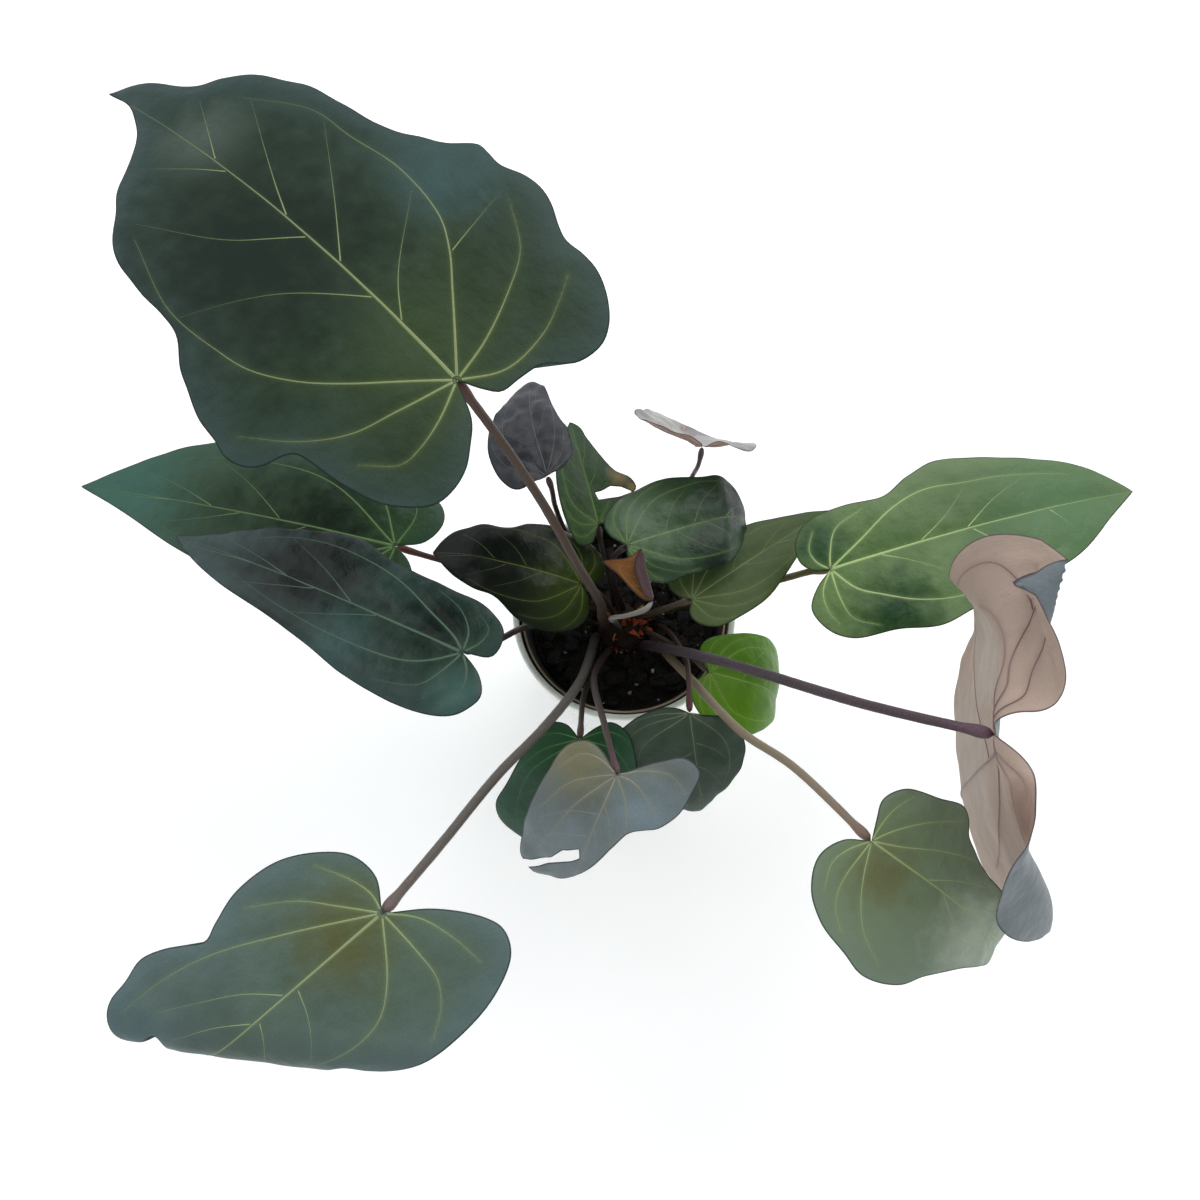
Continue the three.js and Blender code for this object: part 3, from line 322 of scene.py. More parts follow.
# The finish of each leaf: its upper face where it is darkest and lightest, the paler bluish tone towards
# its margin, which is painted sheen, the warm tone round the joint, the veins, the margin line, the
# underside with its ribs, and the petiole at its foot and at its swollen top. gloss is the roughness of the
# upper face, and glow how far in millimetres the warm tone reaches from the joint. spots and under_spots
# are patches of another tone on the upper face and the underside: s, t, how far they reach, and the tone.
# Some of them are painted sheen, painted shade or painted light shining through the blade, as noted at
# their leaves; the others are tones of the leaf itself.
LOOKS = (
    # Leaf 1: the pale patches at (198, -6) and (88, -72) are painted sheen.
    dict(dark="#021c02", light="#2e4034", margin_sheen="#3c4e50", warm="#3a4a1c", vein="#8c9a60",
         rim="#161e1e", under="#6f8a70", rib="#8a7a50", foot="#463c30", top="#5c3630", gloss=0.5, glow=70,
         spots=((198, -6, 26, "#48564e"), (125, 25, 70, "#13221a"), (30, 0, 30, "#34462a"),
                (88, -72, 30, "#38504e"))),
    dict(dark="#021e02", light="#344c32", margin_sheen="#445e52", warm="#284610", vein="#64844c",
         rim="#2a3a2a", under="#7d9a80", rib="#8a8460", foot="#3a241c", top="#5a3026", gloss=0.42, glow=40,
         spots=((49, -5, 45, "#0e2010"), (185, 0, 50, "#3c6458"))),
    # Leaf 3: the pale patches at (75, 20) and (-9, 25) are painted sheen, and its light tone is partly
    # painted sheen.
    dict(dark="#020c02", light="#364c46", margin_sheen="#405454", warm="#2e4836", vein="#5c7862",
         rim="#10181a", under="#6a8478", rib="#86805c", foot="#241c1a", top="#3c2422", gloss=0.34, glow=40,
         spots=((75, 20, 22, "#40605c"), (-9, 25, 18, "#44645e"), (110, -14, 50, "#061210"),
                (20, -12, 24, "#0a1a16"))),
    dict(dark="#020202", light="#020a02", margin_sheen="#021a02", warm="#324602", vein="#76843a",
         rim="#0c1210", under="#5f7a62", rib="#80784c", foot="#2e2220", top="#4a2c28", gloss=0.38, glow=22,
         spots=((9, 4, 24, "#34440e"), (80, -9, 60, "#020606"))),
    dict(dark="#0e1420", light="#4c4c50", margin_sheen="#4c4e54", warm="#302a28", vein="#60646c",
         rim="#1c1a22", under="#6a6066", rib="#5a4450", foot="#241a18", top="#4a2e2e", gloss=0.42, glow=20),
    dict(dark="#020a02", light="#304e2e", margin_sheen="#3e5040", warm="#36581a", vein="#769450",
         rim="#241c18", under="#7a9a74", rib="#8a8c5a", foot="#2e2820", top="#44342a", gloss=0.42, glow=30,
         spots=((28, -20, 8, "#8a7c58"), (18, -28, 6, "#a89468"))),
    # Leaf 7: the dark patches at (76, 8) and (48, -24) are painted shade, on the tip that bends down and in
    # the fold along the lower margin.
    dict(dark="#021a04", light="#2c4832", margin_sheen="#3a5240", warm="#42602e", vein="#86a068",
         rim="#121a18", under="#6f8a72", rib="#867c58", foot="#241c20", top="#3a2628", gloss=0.34, glow=36,
         spots=((76, 8, 24, "#08160f"), (13, 12, 24, "#4c6448"), (48, -24, 20, "#0c2014"))),
    dict(dark="#304228", light="#4a5836", margin_sheen="#4c5a3a", warm="#4e5e2e", vein="#7c8c5c",
         rim="#24261c", under="#7d8c70", rib="#8a7c56", foot="#4a3e30", top="#5c4c34", gloss=0.48, glow=40),
    dict(dark="#26461e", light="#647c52", margin_sheen="#6e825e", warm="#567634", vein="#b4ca86",
         rim="#26301c", under="#86a878", rib="#96a060", foot="#54502e", top="#70603a", gloss=0.4, glow=60,
         spots=((27, -36, 26, "#163a1a"), (-2, 16, 20, "#284828"), (150, -4, 50, "#567650"))),
    # Leaf 10: the pale patches on the underside at (70, 58) and (106, 8) are painted light shining through
    # the thin blade from behind.
    dict(dark="#5a646a", light="#70797c", margin_sheen="#6c767a", warm="#6a7472", vein="#8c9692",
         rim="#382c34", under="#9e8c80", rib="#5c3440", foot="#343034", top="#6c4e5a", gloss=0.42, glow=40,
         under_spots=((70, 58, 30, "#b4a99e"), (106, 8, 44, "#a89c92"), (-38, -50, 22, "#80685c"))),
    # Leaf 11: the pale patch at (84, -12) is painted sheen; the brownish one near the joint is its own
    # colour.
    dict(dark="#6c8066", light="#7c8e74", margin_sheen="#7c8c80", warm="#6a7e50", vein="#a8ba80",
         rim="#283028", under="#768e74", rib="#8a8056", foot="#8c826a", top="#70504e", gloss=0.4, glow=50,
         spots=((14, -12, 20, "#6c704c"), (84, -12, 30, "#a4b29e"))),
    dict(dark="#144e02", light="#5a8a02", margin_sheen="#588e0e", warm="#6e962a", vein="#94b45c",
         rim="#3c6a20", under="#8cb468", rib="#9cb868", foot="#5c5240", top="#6a5250", gloss=0.36, glow=40),
    dict(dark="#021806", light="#425448", margin_sheen="#4c5c52", warm="#38462e", vein="#6c7c62",
         rim="#12181a", under="#5c6c62", rib="#6a5a54", foot="#3a2a22", top="#4c2026", gloss=0.38, glow=30),
    # Leaf 14: its pale greys are partly painted sheen over its own colour.
    dict(dark="#303e40", light="#64706e", margin_sheen="#7e888e", warm="#72745c", vein="#a8a48c",
         rim="#302c30", under="#80867c", rib="#8a7a6c", foot="#2c2622", top="#62444a", gloss=0.42, glow=36,
         spots=((2, -24, 22, "#7c7a60"), (16, 24, 26, "#7c8c92"), (50, -10, 24, "#7a868a"))),
    dict(dark="#020202", light="#2a4e3a", margin_sheen="#3a5c4a", warm="#124410", vein="#4a7840",
         rim="#0e1810", under="#6f9078", rib="#7a8058", foot="#3a342a", top="#4a3028", gloss=0.36, glow=30),
    dict(dark="#405048", light="#586a62", margin_sheen="#5e7278", warm="#586a48", vein="#98a870",
         rim="#20282a", under="#72887a", rib="#84785a", foot="#4e4c46", top="#6e5e5a", gloss=0.46, glow=60,
         spots=((170, -30, 50, "#4c686e"), (20, -4, 26, "#585c38"))),
    # Leaf 17 is seen almost edge-on, and the greys of its upper face are painted sheen.
    dict(dark="#6c625e", light="#888684", margin_sheen="#848082", warm="#7e7c74", vein="#c0c0be",
         rim="#4a4048", under="#b4988c", rib="#805a5a", foot="#42323a", top="#6a525c", gloss=0.32, glow=30),
    dict(dark="#502602", light="#8e5c2e", margin_sheen="#744e2a", warm="#80521e", vein="#946a3c",
         rim="#2c1c18", under="#3e2e2a", rib="#5c4854", foot="#66625c", top="#8a8680", gloss=0.34, glow=20),
)


def smooth(x):
    """A soft step from 0 to 1."""
    x = np.clip(x, 0, 1)
    return x * x * (3 - 2 * x)


def station(values, fraction):
    """The value of an evenly spaced list at fractions of the leaf's length."""
    values = np.atleast_1d(np.array(values, float))
    return np.interp(fraction, np.linspace(0, 1, len(values)), values)


def on_line(places, reach, points):
    """Places on a line of points; reach says how far along it each of its points is."""
    return np.stack([np.interp(places, reach, axis) for axis in points.T], 1)


def unit(vectors):
    """Vectors with the same directions, one long."""
    return vectors / np.linalg.norm(vectors, axis=1)[:, None]


def length_of(line):
    """The length of a line of points."""
    return np.linalg.norm(np.diff(line, axis=0), axis=1).sum()


def evenly(points, count):
    """Points at equal distances along a line of points."""
    points = np.array(points, float)
    reach = np.append(0, np.cumsum(np.linalg.norm(np.diff(points, axis=0), axis=1)))
    return on_line(np.linspace(0, reach[-1], count), reach, points)


def spaced(points, spacing):
    """Points along a line, about as far apart as the spacing."""
    return evenly(points, max(4, round(length_of(points) / spacing)) + 1)


def curve(points, per=12):
    """A smooth curve through points, which doesn't overshoot where they are unevenly spaced."""
    points = np.array(points, float)
    ends = [2 * points[0] - points[1], *points, 2 * points[-1] - points[-2]]
    made = []
    for p0, p1, p2, p3 in zip(ends, ends[1:], ends[2:], ends[3:]):
        d0, d1, d2 = (max(np.linalg.norm(b - a) ** 0.5, 1e-4) for a, b in ((p0, p1), (p1, p2), (p2, p3)))
        leave = ((p1 - p0) / d0 - (p2 - p0) / (d0 + d1) + (p2 - p1) / d1) * d1
        arrive = ((p2 - p1) / d1 - (p3 - p1) / (d1 + d2) + (p3 - p2) / d2) * d1
        for u in np.arange(per) / per:
            made.append((2 * u**3 - 3 * u**2 + 1) * p1 + (u**3 - 2 * u**2 + u) * leave
                        + (3 * u**2 - 2 * u**3) * p2 + (u**3 - u**2) * arrive)
    return np.array([*made, points[-1]])


def distance(points, lines):
    """How far each point lies from the nearest of several lines of points."""
    starts = np.vstack([line[:-1] for line in lines])
    runs = np.vstack([np.diff(line, axis=0) for line in lines])
    squares = np.maximum((runs**2).sum(1), 1e-9)
    found = []
    for part in np.array_split(points, len(points) // 2000 + 1):
        away = part[:, None] - starts
        along = np.clip((away * runs).sum(2) / squares, 0, 1)
        found.append(np.linalg.norm(away - along[..., None] * runs, axis=2).min(1))
    return np.concatenate(found)


def nearest(line, point):
    """The point of a line that lies nearest to another point."""
    return line[np.argmin(((line - point) ** 2).sum(1))]


def lumps(points, size):
    """Smooth noise between -1 and 1 at points in space, with lumps of about the given size."""
    return np.array([noise.noise(Vector(point / size)) for point in points])


def inside(points, outline):
    """Which flat points lie inside a closed outline."""
    x, y = points.T
    found = np.zeros(len(points), bool)
    for (x0, y0), (x1, y1) in zip(outline, np.roll(outline, -1, axis=0)):
        if y0 != y1:
            found ^= ((y0 > y) != (y1 > y)) & (x < (x1 - x0) * (y - y0) / (y1 - y0) + x0)
    return found


class LeafForm:
    """The bent form of a leaf, which takes points (s, t) of the flat leaf to their places in space."""

    PLAIN = dict(swing=0, roll=0, turn=0, lobe=0, creases=(), hole=None, finer=1, quilt=0.6,
                 ruffle=(1.0, 15), crinkle=(0.8, 26))

    def __init__(self, number, spec):
        for key, value in {**self.PLAIN, **spec}.items():
            setattr(self, key, value)
        self.number = number
        self.step = self.length / STEPS
        self.ahead = self.walk(1, 2 * STEPS)
        self.behind = self.walk(-1, STEPS)
        sides = [curve([(0, 0), *half]) for half in (self.left, self.right)]
        self.margin = np.vstack([sides[0], sides[1][-2::-1]])
        self.edges = [spaced(self.margin, LINE_SPACING)]
        if self.hole:
            self.edges.append(np.array([*self.hole, self.hole[0]], float))
        along, beside = np.array(self.left[-1]) * 0.98
        self.midrib = self.trimmed([(0, 0), (along * 0.5, beside * 0.3), (along, beside)])
        veins = {"ribs": self.usual_ribs(sides), "rungs": self.usual_rungs(sides), **VEINS.get(number, {})}
        self.ribs = [self.trimmed([(0, 0), *rib]) for rib in veins["ribs"]]
        self.rungs = [self.rooted(rung) for rung in veins["rungs"]]

    def trimmed(self, points):
        """A vein through these points, up to where it would leave the blade or enter its hole."""
        line = spaced(curve(points), LINE_SPACING)
        clear = inside(line, self.margin) & (distance(line, self.edges) > 1)
        if self.hole:
            clear &= ~inside(line, self.hole)
        clear[:5] = True
        return line if clear.all() else line[:max(6, np.argmin(clear))]

    def rooted(self, rung):
        """A weaker vein that starts on the nearest stronger one."""
        return self.trimmed([nearest(np.vstack([self.midrib, *self.ribs]), rung[0]), *rung[1:]])

    def usual_ribs(self, sides):
        """Three ribs on each side, that leave the joint and bend forwards along the margin."""
        ribs = []
        for half in sides:
            rim = evenly(half, 101)
            for end, bow in ((80, 52), (50, 34), (29, 20)):
                ribs.append((0.62 * rim[bow], 0.88 * (rim[bow] + rim[end]) / 2, 0.93 * rim[end]))
        return ribs

    def usual_rungs(self, sides):
        """Weaker veins that leave the midrib to the left and right by turns and curve forwards."""
        rungs = []
        for i, place in enumerate((0.26, 0.34, 0.46, 0.55, 0.68)):
            rim = np.abs(sides[i % 2])
            far = rim[len(rim) // 3:].T
            start, stop = place * self.length, min(place + 0.27, 0.95) * self.length
            wide = np.interp(stop, *far) * (-1) ** i
            rungs.append(((start, 0), ((start + stop) / 2 - 3, wide * 0.42), (stop, wide * 0.8)))
        return rungs

    def walk(self, direction, count):
        """Points along the midrib, one step apart, forwards or backwards from the joint."""
        along = self.axes(direction * (np.arange(count) + 0.5) * self.step)[0]
        moves = np.cumsum(direction * self.step * along, axis=0)
        return np.array(self.joint, float) + np.vstack([np.zeros(3), moves])

    def axes(self, s):
        """The directions along the midrib, across to the left, and up out of the blade."""
        f = s / self.length
        behind = self.pitch[0] - self.lobe * np.minimum(-f / 0.3, 1.5)
        p = np.radians(np.where(f < 0, behind, station(self.pitch, f)))
        h = np.radians(self.heading + self.swing * np.clip(f, 0, 1.1))
        r = np.radians(station(self.roll, f))[:, None]
        along = np.stack([np.cos(p) * np.cos(h), np.cos(p) * np.sin(h), np.sin(p)], 1)
        level = np.stack([-np.sin(h), np.cos(h), 0 * h], 1)
        across = level * np.cos(r) + np.cross(along, level) * np.sin(r)
        return along, across, np.cross(along, across)

    def spine(self, s):
        """Places on the midrib at distances from the joint, negative behind it."""
        k = np.abs(s) / self.step
        ahead, behind = (on_line(k, np.arange(len(table)), table) for table in (self.ahead, self.behind))
        return np.where(s[:, None] >= 0, ahead, behind)

    def slope(self, half, far):
        """The tilt of the cross-section at the flat distance far from the midrib."""
        cup, curl = np.broadcast_to(self.cup, 2)[half], np.broadcast_to(self.curl, 2)[half]
        return np.radians(cup + curl * far / self.width)

    def near(self, flat):
        """Distances to the nearest rib, the nearest rung and the margin."""
        lines = [self.midrib, *self.ribs], self.rungs, self.edges
        return np.stack([distance(flat, group) for group in lines], 1)

    def relief(self, flat, near):
        """How far the blade stands up between its veins, and how its margin waves."""
        rib, rung, edge = near.T
        puff = (1 - np.exp(-(rib / 6) ** 2)) * (0.5 + 0.5 * (1 - np.exp(-(rung / 5) ** 2)))
        raised = self.quilt * puff * smooth(edge / 8)
        spots = np.column_stack([flat, 0 * edge + 9 * self.number])
        high, size = self.ruffle
        raised += high * np.exp(-edge / 6) * lumps(spots, size)
        high, size = self.crinkle
        return raised + high * lumps(spots, size)

    def creased(self, s, t):
        """Folds the flat leaf across its creases, and adds how high each point then stands."""
        high = np.zeros_like(s)
        for from_s, from_t, toward, over, turned_by in self.creases:
            e, f = math.cos(math.radians(toward)), math.sin(math.radians(toward))
            angle = math.radians(turned_by)
            past = (s - from_s) * e + (t - from_t) * f
            bent = np.clip(past / over, 0, 1)
            rest = np.maximum(past - over, 0)
            moved = over / angle * np.sin(angle * bent) + rest * math.cos(angle) - np.maximum(past, 0)
            moved = moved - high * np.sin(angle * bent)
            high = high * np.cos(angle * bent) + over / angle * (1 - np.cos(angle * bent))
            high = high + rest * math.sin(angle)
            s, t = s + moved * e, t + moved * f
        return s, t, high

    def middle(self, flat):
        """Places in space of flat points on the middle of the blade."""
        s, t, high = self.creased(*flat.T)
        turn = math.radians(self.turn)
        s, t = s * math.cos(turn) - t * math.sin(turn), s * math.sin(turn) + t * math.cos(turn)
        _, across, up = self.axes(s)
        half = np.where(t >= 0, 0, 1)
        out = height = 0
        for i in range(SECTION_STEPS):
            tilt = self.slope(half, (i + 0.5) / SECTION_STEPS * np.abs(t))
            out = out + np.cos(tilt) * t / SECTION_STEPS
            height = height + np.sin(tilt) * np.abs(t) / SECTION_STEPS
        tilt = self.slope(half, np.abs(t))
        out = out - np.where(t >= 0, 1, -1) * np.sin(tilt) * high
        height = height + np.cos(tilt) * high
        return self.spine(s) + across * out[:, None] + up * height[:, None]

    def place(self, flat, lift=0.0, near=None):
        """Places in space of flat points, lifted off the middle of the blade."""
        flat = np.array(flat, float)
        ahead, left = np.array([0.5, 0]), np.array([0, 0.5])
        normal = unit(np.cross(self.middle(flat + ahead) - self.middle(flat - ahead),
                               self.middle(flat + left) - self.middle(flat - left)))
        raised = lift + self.relief(flat, self.near(flat) if near is None else near)
        return self.middle(flat) + normal * raised[:, None]


def as_piece(name, bm, materials, sharp=35):
    """An object out of a finished mesh, whose edges stay sharp past an angle."""
    mesh = bpy.data.meshes.new(name)
    bm.to_mesh(mesh)
    bm.free()
    mesh.set_sharp_from_angle(angle=math.radians(sharp))
    piece = bpy.data.objects.new(name, mesh)
    bpy.context.scene.collection.objects.link(piece)
    for material in materials:
        mesh.materials.append(material)
    return piece


def hand_over(piece, node):
    """Attaches a finished piece to the plant's body and hides the part of model.glb that it takes the place
    of.
    """
    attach(piece, ROOT)
    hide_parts(node)


class Shaper:
    """A piece of the plant while its mesh is made, in millimetres, out of bent grids."""

    def __init__(self, name):
        self.name = name
        self.bm = bmesh.new()
        self.layers = [self.bm.verts.layers.float_vector.new(key) for key in ("flat", "near")]

    def grid(self, columns, rows):
        """Adds a grid and returns its vertices and their places across it and along it, from 0 to 1."""
        made = bmesh.ops.create_grid(self.bm, x_segments=columns, y_segments=rows, size=0.5)["verts"]
        return made, np.array([vert.co[:2] for vert in made]) + 0.5

    def tube(self, sides, rows):
        """Adds a grid to roll up: its vertices, their angles round it, places along it and rows."""
        verts, places = self.grid(sides, rows)
        return verts, 2 * np.pi * places[:, 0], places[:, 1], np.rint(places[:, 1] * rows).astype(int)

    def settle(self, verts, places, flat, near, material=0, flip=False):
        """Moves the vertices of a grid to their places, with what the finishes read at them."""
        for vert, place, *values in zip(verts, places, flat, near):
            vert.co = Vector(place) * MM
            for layer, value in zip(self.layers, values):
                vert[layer] = value
        faces = {face for vert in verts for face in vert.link_faces}
        for face in faces:
            face.material_index = material
            face.smooth = True
        if flip:
            bmesh.ops.reverse_faces(self.bm, faces=list(faces))
        return faces

    def finish(self, materials):
        """Closes the seams and makes the object."""
        bmesh.ops.remove_doubles(self.bm, verts=self.bm.verts, dist=SEAM * MM)
        return as_piece(self.name, self.bm, materials, sharp=50)


def turned_frames(run):
    """Two directions across each run, which turn as little as they can from one run to the next."""
    side = np.cross(run[0], (0, 0, 1))
    if np.linalg.norm(side) < 1e-3:
        side = np.cross(run[0], (0, 1, 0))
    sides = []
    for forward in run:
        side = side - forward * (side @ forward)
        side = side / np.linalg.norm(side)
        sides.append(side)
    return np.array(sides), np.cross(run, sides)


def tint(colour):
    """A colour as the shader reads it, from its six-digit code; other values stay as they are."""
    if isinstance(colour, str):
        parts = [int(colour[i:i + 2], 16) / 255 for i in (1, 3, 5)]
        colour = (*(c / 12.92 if c <= 0.04045 else ((c + 0.055) / 1.055) ** 2.4 for c in parts), 1.0)
    return colour


def shade(colour, times, more=0.0):
    """A lighter or darker tone of a colour."""
    return (*(min(1.0, times * c + more) for c in tint(colour)[:3]), 1.0)


class Value:
    """A socket of a material that can be worked with like a number."""

    def __init__(self, finish, socket):
        self.finish = finish
        self.socket = socket

    def math(self, operation, *values):
        return self.finish.node("ShaderNodeMath", dict(enumerate(values)), operation=operation)

    def __add__(self, other):
        return self.math("ADD", self, other)

    def __rsub__(self, other):
        return self.math("SUBTRACT", other, self)

    def __mul__(self, other):
        return self.math("MULTIPLY", self, other)

    def fade(self, reach):
        """1 where the value is 0, and falling smoothly to nothing past the reach."""
        return self.math("EXPONENT", self * (-1 / reach))

    def below(self, limit, soft):
        """1 where the value is under a limit, and 0 above it, with a soft edge."""
        low, high = limit - soft / 2, limit + soft / 2
        return self.finish.node("ShaderNodeMapRange", {0: self, 1: low, 2: high, 3: 1.0, 4: 0.0})

    def above(self, limit, soft):
        return 1 - self.below(limit, soft)


class Finish:
    """A material while it is made out of nodes."""

    def __init__(self, name, **constants):
        self.material = bpy.data.materials.new(name)
        self.material.use_nodes = True
        self.tree = self.material.node_tree
        self.shader = self.tree.nodes["Principled BSDF"]
        for socket, value in constants.items():
            self.shader.inputs[socket.replace("_", " ")].default_value = value

    def node(self, kind, inputs=None, output=0, **settings):
        """Adds a node and returns one of its outputs; inputs are values or links by socket."""
        node = self.tree.nodes.new(kind)
        for key, value in settings.items():
            setattr(node, key, value)
        for key, value in (inputs or {}).items():
            if isinstance(value, Value):
                self.tree.links.new(value.socket, node.inputs[key])
            else:
                node.inputs[key].default_value = value
        return Value(self, node.outputs[output])

    def carried(self):
        """What the mesh carries: the flat place, and the three values of near."""
        flat, near = (self.node("ShaderNodeAttribute", output="Vector", attribute_name=name)
                      for name in ("flat", "near"))
        return flat, [self.node("ShaderNodeSeparateXYZ", {0: near}, output=i) for i in range(3)]

    def vector(self, operation, first, second=(0.0, 0.0, 0.0), output=0):
        return self.node("ShaderNodeVectorMath", {0: first, 1: second}, output, operation=operation)

    def here(self):
        """The place in the plant's own frame, in metres."""
        return self.node("ShaderNodeTexCoord", output="Object")

    def clouds(self, where, scale, detail=3.0, contrast=1.0):
        """Smooth noise between 0 and 1."""
        made = self.node("ShaderNodeTexNoise", {"Vector": where, "Scale": scale, "Detail": detail})
        if contrast == 1.0:
            return made
        return self.node("ShaderNodeMapRange", {0: made, 1: 0.5 - 0.5 / contrast, 2: 0.5 + 0.5 / contrast})

    def cracks(self, where, scale):
        """Distance to the nearest side of an irregular cell."""
        return self.node("ShaderNodeTexVoronoi", {"Vector": where, "Scale": scale},
                         feature="DISTANCE_TO_EDGE")

    def mix(self, factor, first, second):
        """One colour over another."""
        return self.node("ShaderNodeMix", {0: factor, 6: tint(first), 7: tint(second)}, 2, data_type="RGBA")

    def done(self, colour, rough, height=None, size=0.0, strength=1.0):
        """Plugs the colour, the roughness and a bump into the surface and returns the material."""
        links = {"Base Color": colour, "Roughness": rough}
        if height:
            bump = {"Height": height, "Distance": size, "Strength": strength}
            links["Normal"] = self.node("ShaderNodeBump", bump)
        for socket, value in links.items():
            self.tree.links.new(value.socket, self.shader.inputs[socket])
        return self.material


FORMS = [LeafForm(number, spec) for number, spec in enumerate(LEAVES, 1)]


def blade_finish(name, look, under):
    """The upper or the lower face of a blade."""
    blades = bpy.context.scene.anthurium_blades
    gloss = 0.55 if under else look["gloss"] + blades.matt
    f = Finish(name, IOR=1.45, Specular_IOR_Level=blades.shine * (1.1 - 1.6 * gloss))
    flat, (rib, rung, edge) = f.carried()
    reach = f.vector("LENGTH", flat, output="Value") * FLAT_UNIT
    patches = f.clouds(flat, 2.2, detail=4, contrast=2.6)
    cloudy = f.clouds(flat, 9, detail=5, contrast=2.4)
    grain = f.clouds(flat, 110, detail=4, contrast=1.8)
    base = look["under"] if under else look["dark"]
    pale = shade(base, 1.22) if under else look["light"]
    colour = f.mix(patches * 0.65 + cloudy * 0.35, base, pale)
    if under:
        colour = f.mix(rib.fade(1.6) * 0.3 + rung.fade(1.2) * 0.2, colour, look["rib"])
    else:
        # Painted sheen: the upper face turns paler and bluer towards its margin.
        colour = f.mix(edge.fade(20) * 0.8, colour, look["margin_sheen"])
        glow = reach.fade(look["glow"]) * (rib.fade(6) * 0.5 + 0.4)
        colour = f.mix(glow, colour, look["warm"])
    # Patches of another tone; the ones noted at their leaves in LOOKS are painted sheen, painted shade or
    # painted light shining through the blade.
    for s, t, across, code in look.get("under_spots" if under else "spots", ()):
        away = f.vector("DISTANCE", flat, (s / FLAT_UNIT, t / FLAT_UNIT, 0), output="Value")
        away = away * FLAT_UNIT + cloudy * (0.5 * across)
        colour = f.mix(away.below(across, across), colour, code)
    if not under:
        halo = (rib.fade(0.7) * 0.45 + rung.fade(0.6) * 0.2) * reach.fade(1.6 * look["glow"])
        colour = f.mix(halo, colour, look["vein"])
    colour = f.mix(grain * 0.3, colour, shade(base, 0.6))
    colour = f.mix(edge.below(0.7, 0.5) * 0.8, colour, look["rim"])
    rough = cloudy * 0.14 + grain * 0.05 + (gloss - 0.1)
    return f.done(colour, rough, grain * 0.2 + cloudy * 2, 0.0006, 0.5)


def rib_finish(name, look, under):
    """The veins, brightest at the joint, soft at their sides and darker along their middle."""
    f = Finish(name, IOR=1.45)
    flat, (core, along, _) = f.carried()
    speckle = f.clouds(flat, 40, contrast=1.6)
    dull = look["under"] if under else look["light"]
    colour = f.mix(along * 0.65, look["rib"] if under else look["vein"], dull)
    colour = f.mix((1 - core) * 0.5, colour, dull)
    if not under:
        colour = f.mix(core.above(0.9, 0.1) * (1 - along) * 0.4, colour, look["dark"])
    colour = f.mix(speckle * 0.2, colour, shade(dull, 0.6))
    return f.done(colour, speckle * 0.1 + 0.4, speckle, 0.0001, 0.4)


def petiole_finish(name, look):
    """A petiole with fine streaks along it, redder at its swollen top, and with painted shade that darkens
    it to near black towards its foot in the crown.
    """
    f = Finish(name, IOR=1.45, Specular_IOR_Level=0.3)
    flat, (below_top, above_foot, _) = f.carried()
    streaks = f.clouds(f.vector("MULTIPLY", flat, (0.4, 1.0, 1.0)), 9, detail=5, contrast=1.8)
    patches = f.clouds(flat, 2.2, contrast=1.5)
    foot, top = look["foot"], look["top"]
    colour = f.mix(patches * 0.15 + below_top.fade(22) * 0.7, foot, top)
    colour = f.mix(streaks * 0.4, colour, shade(foot, 0.45))
    colour = f.mix(below_top.fade(7) * 0.6, colour, top)
    # Painted shade: near black towards the foot, down among the other petioles in the crown.
    colour = f.mix(above_foot.fade(85) * 0.95, colour, "#0c0a08")
    dots = f.cracks(flat, 14).below(0.08, 0.1)
    colour = f.mix(dots * 0.12, colour, shade(top, 2.2, 0.05))
    return f.done(colour, streaks * 0.18 + 0.36, streaks, 0.0004, 0.5)


def add_blade(shaper, form, thickness):
    """Both faces of a blade, which meet in a thin margin."""
    spacing = (FACE_SIZE + form.length / 300) * form.finer
    columns = round(length_of(form.margin) / spacing)
    rows = round(np.linalg.norm(form.margin, axis=1).max() / spacing)
    rim = evenly(evenly(form.margin, 400)[2:-2], columns + 1)
    for under, side in enumerate((0.5, -0.5)):
        verts, places = shaper.grid(columns, rows)
        column = np.rint(places[:, 0] * columns).astype(int)
        out = 1 - (1 - places[:, 1]) ** 1.2
        flat = rim[column] * out[:, None]
        if form.hole:
            verts, flat = eaten(shaper.bm, verts, flat, form.edges[-1])
        near = form.near(flat)
        lift = thickness * np.sqrt(np.clip(near[:, 2] / MARGIN_TAPER, 0, 1)) * side
        carried = np.column_stack([flat / FLAT_UNIT, 0 * lift])
        shaper.settle(verts, form.place(flat, lift, near), carried, near, under, flip=bool(under))


def eaten(bm, verts, flat, outline):
    """Takes the part of a grid inside an outline away and fits the edge of the rest to it."""
    gone = inside(flat, outline[:-1])
    lost = {face for vert, out in zip(verts, gone) if out for face in vert.link_faces}
    brink = {vert for face in lost for vert in face.verts}
    fine = spaced(outline, 0.3)
    kept = [(vert, nearest(fine, place) if vert in brink else place)
            for vert, place, out in zip(verts, flat, gone) if not out]
    bmesh.ops.delete(bm, geom=list(lost), context="FACES")
    kept = [(vert, place) for vert, place in kept if vert.is_valid]
    return [vert for vert, _ in kept], np.array([place for _, place in kept])


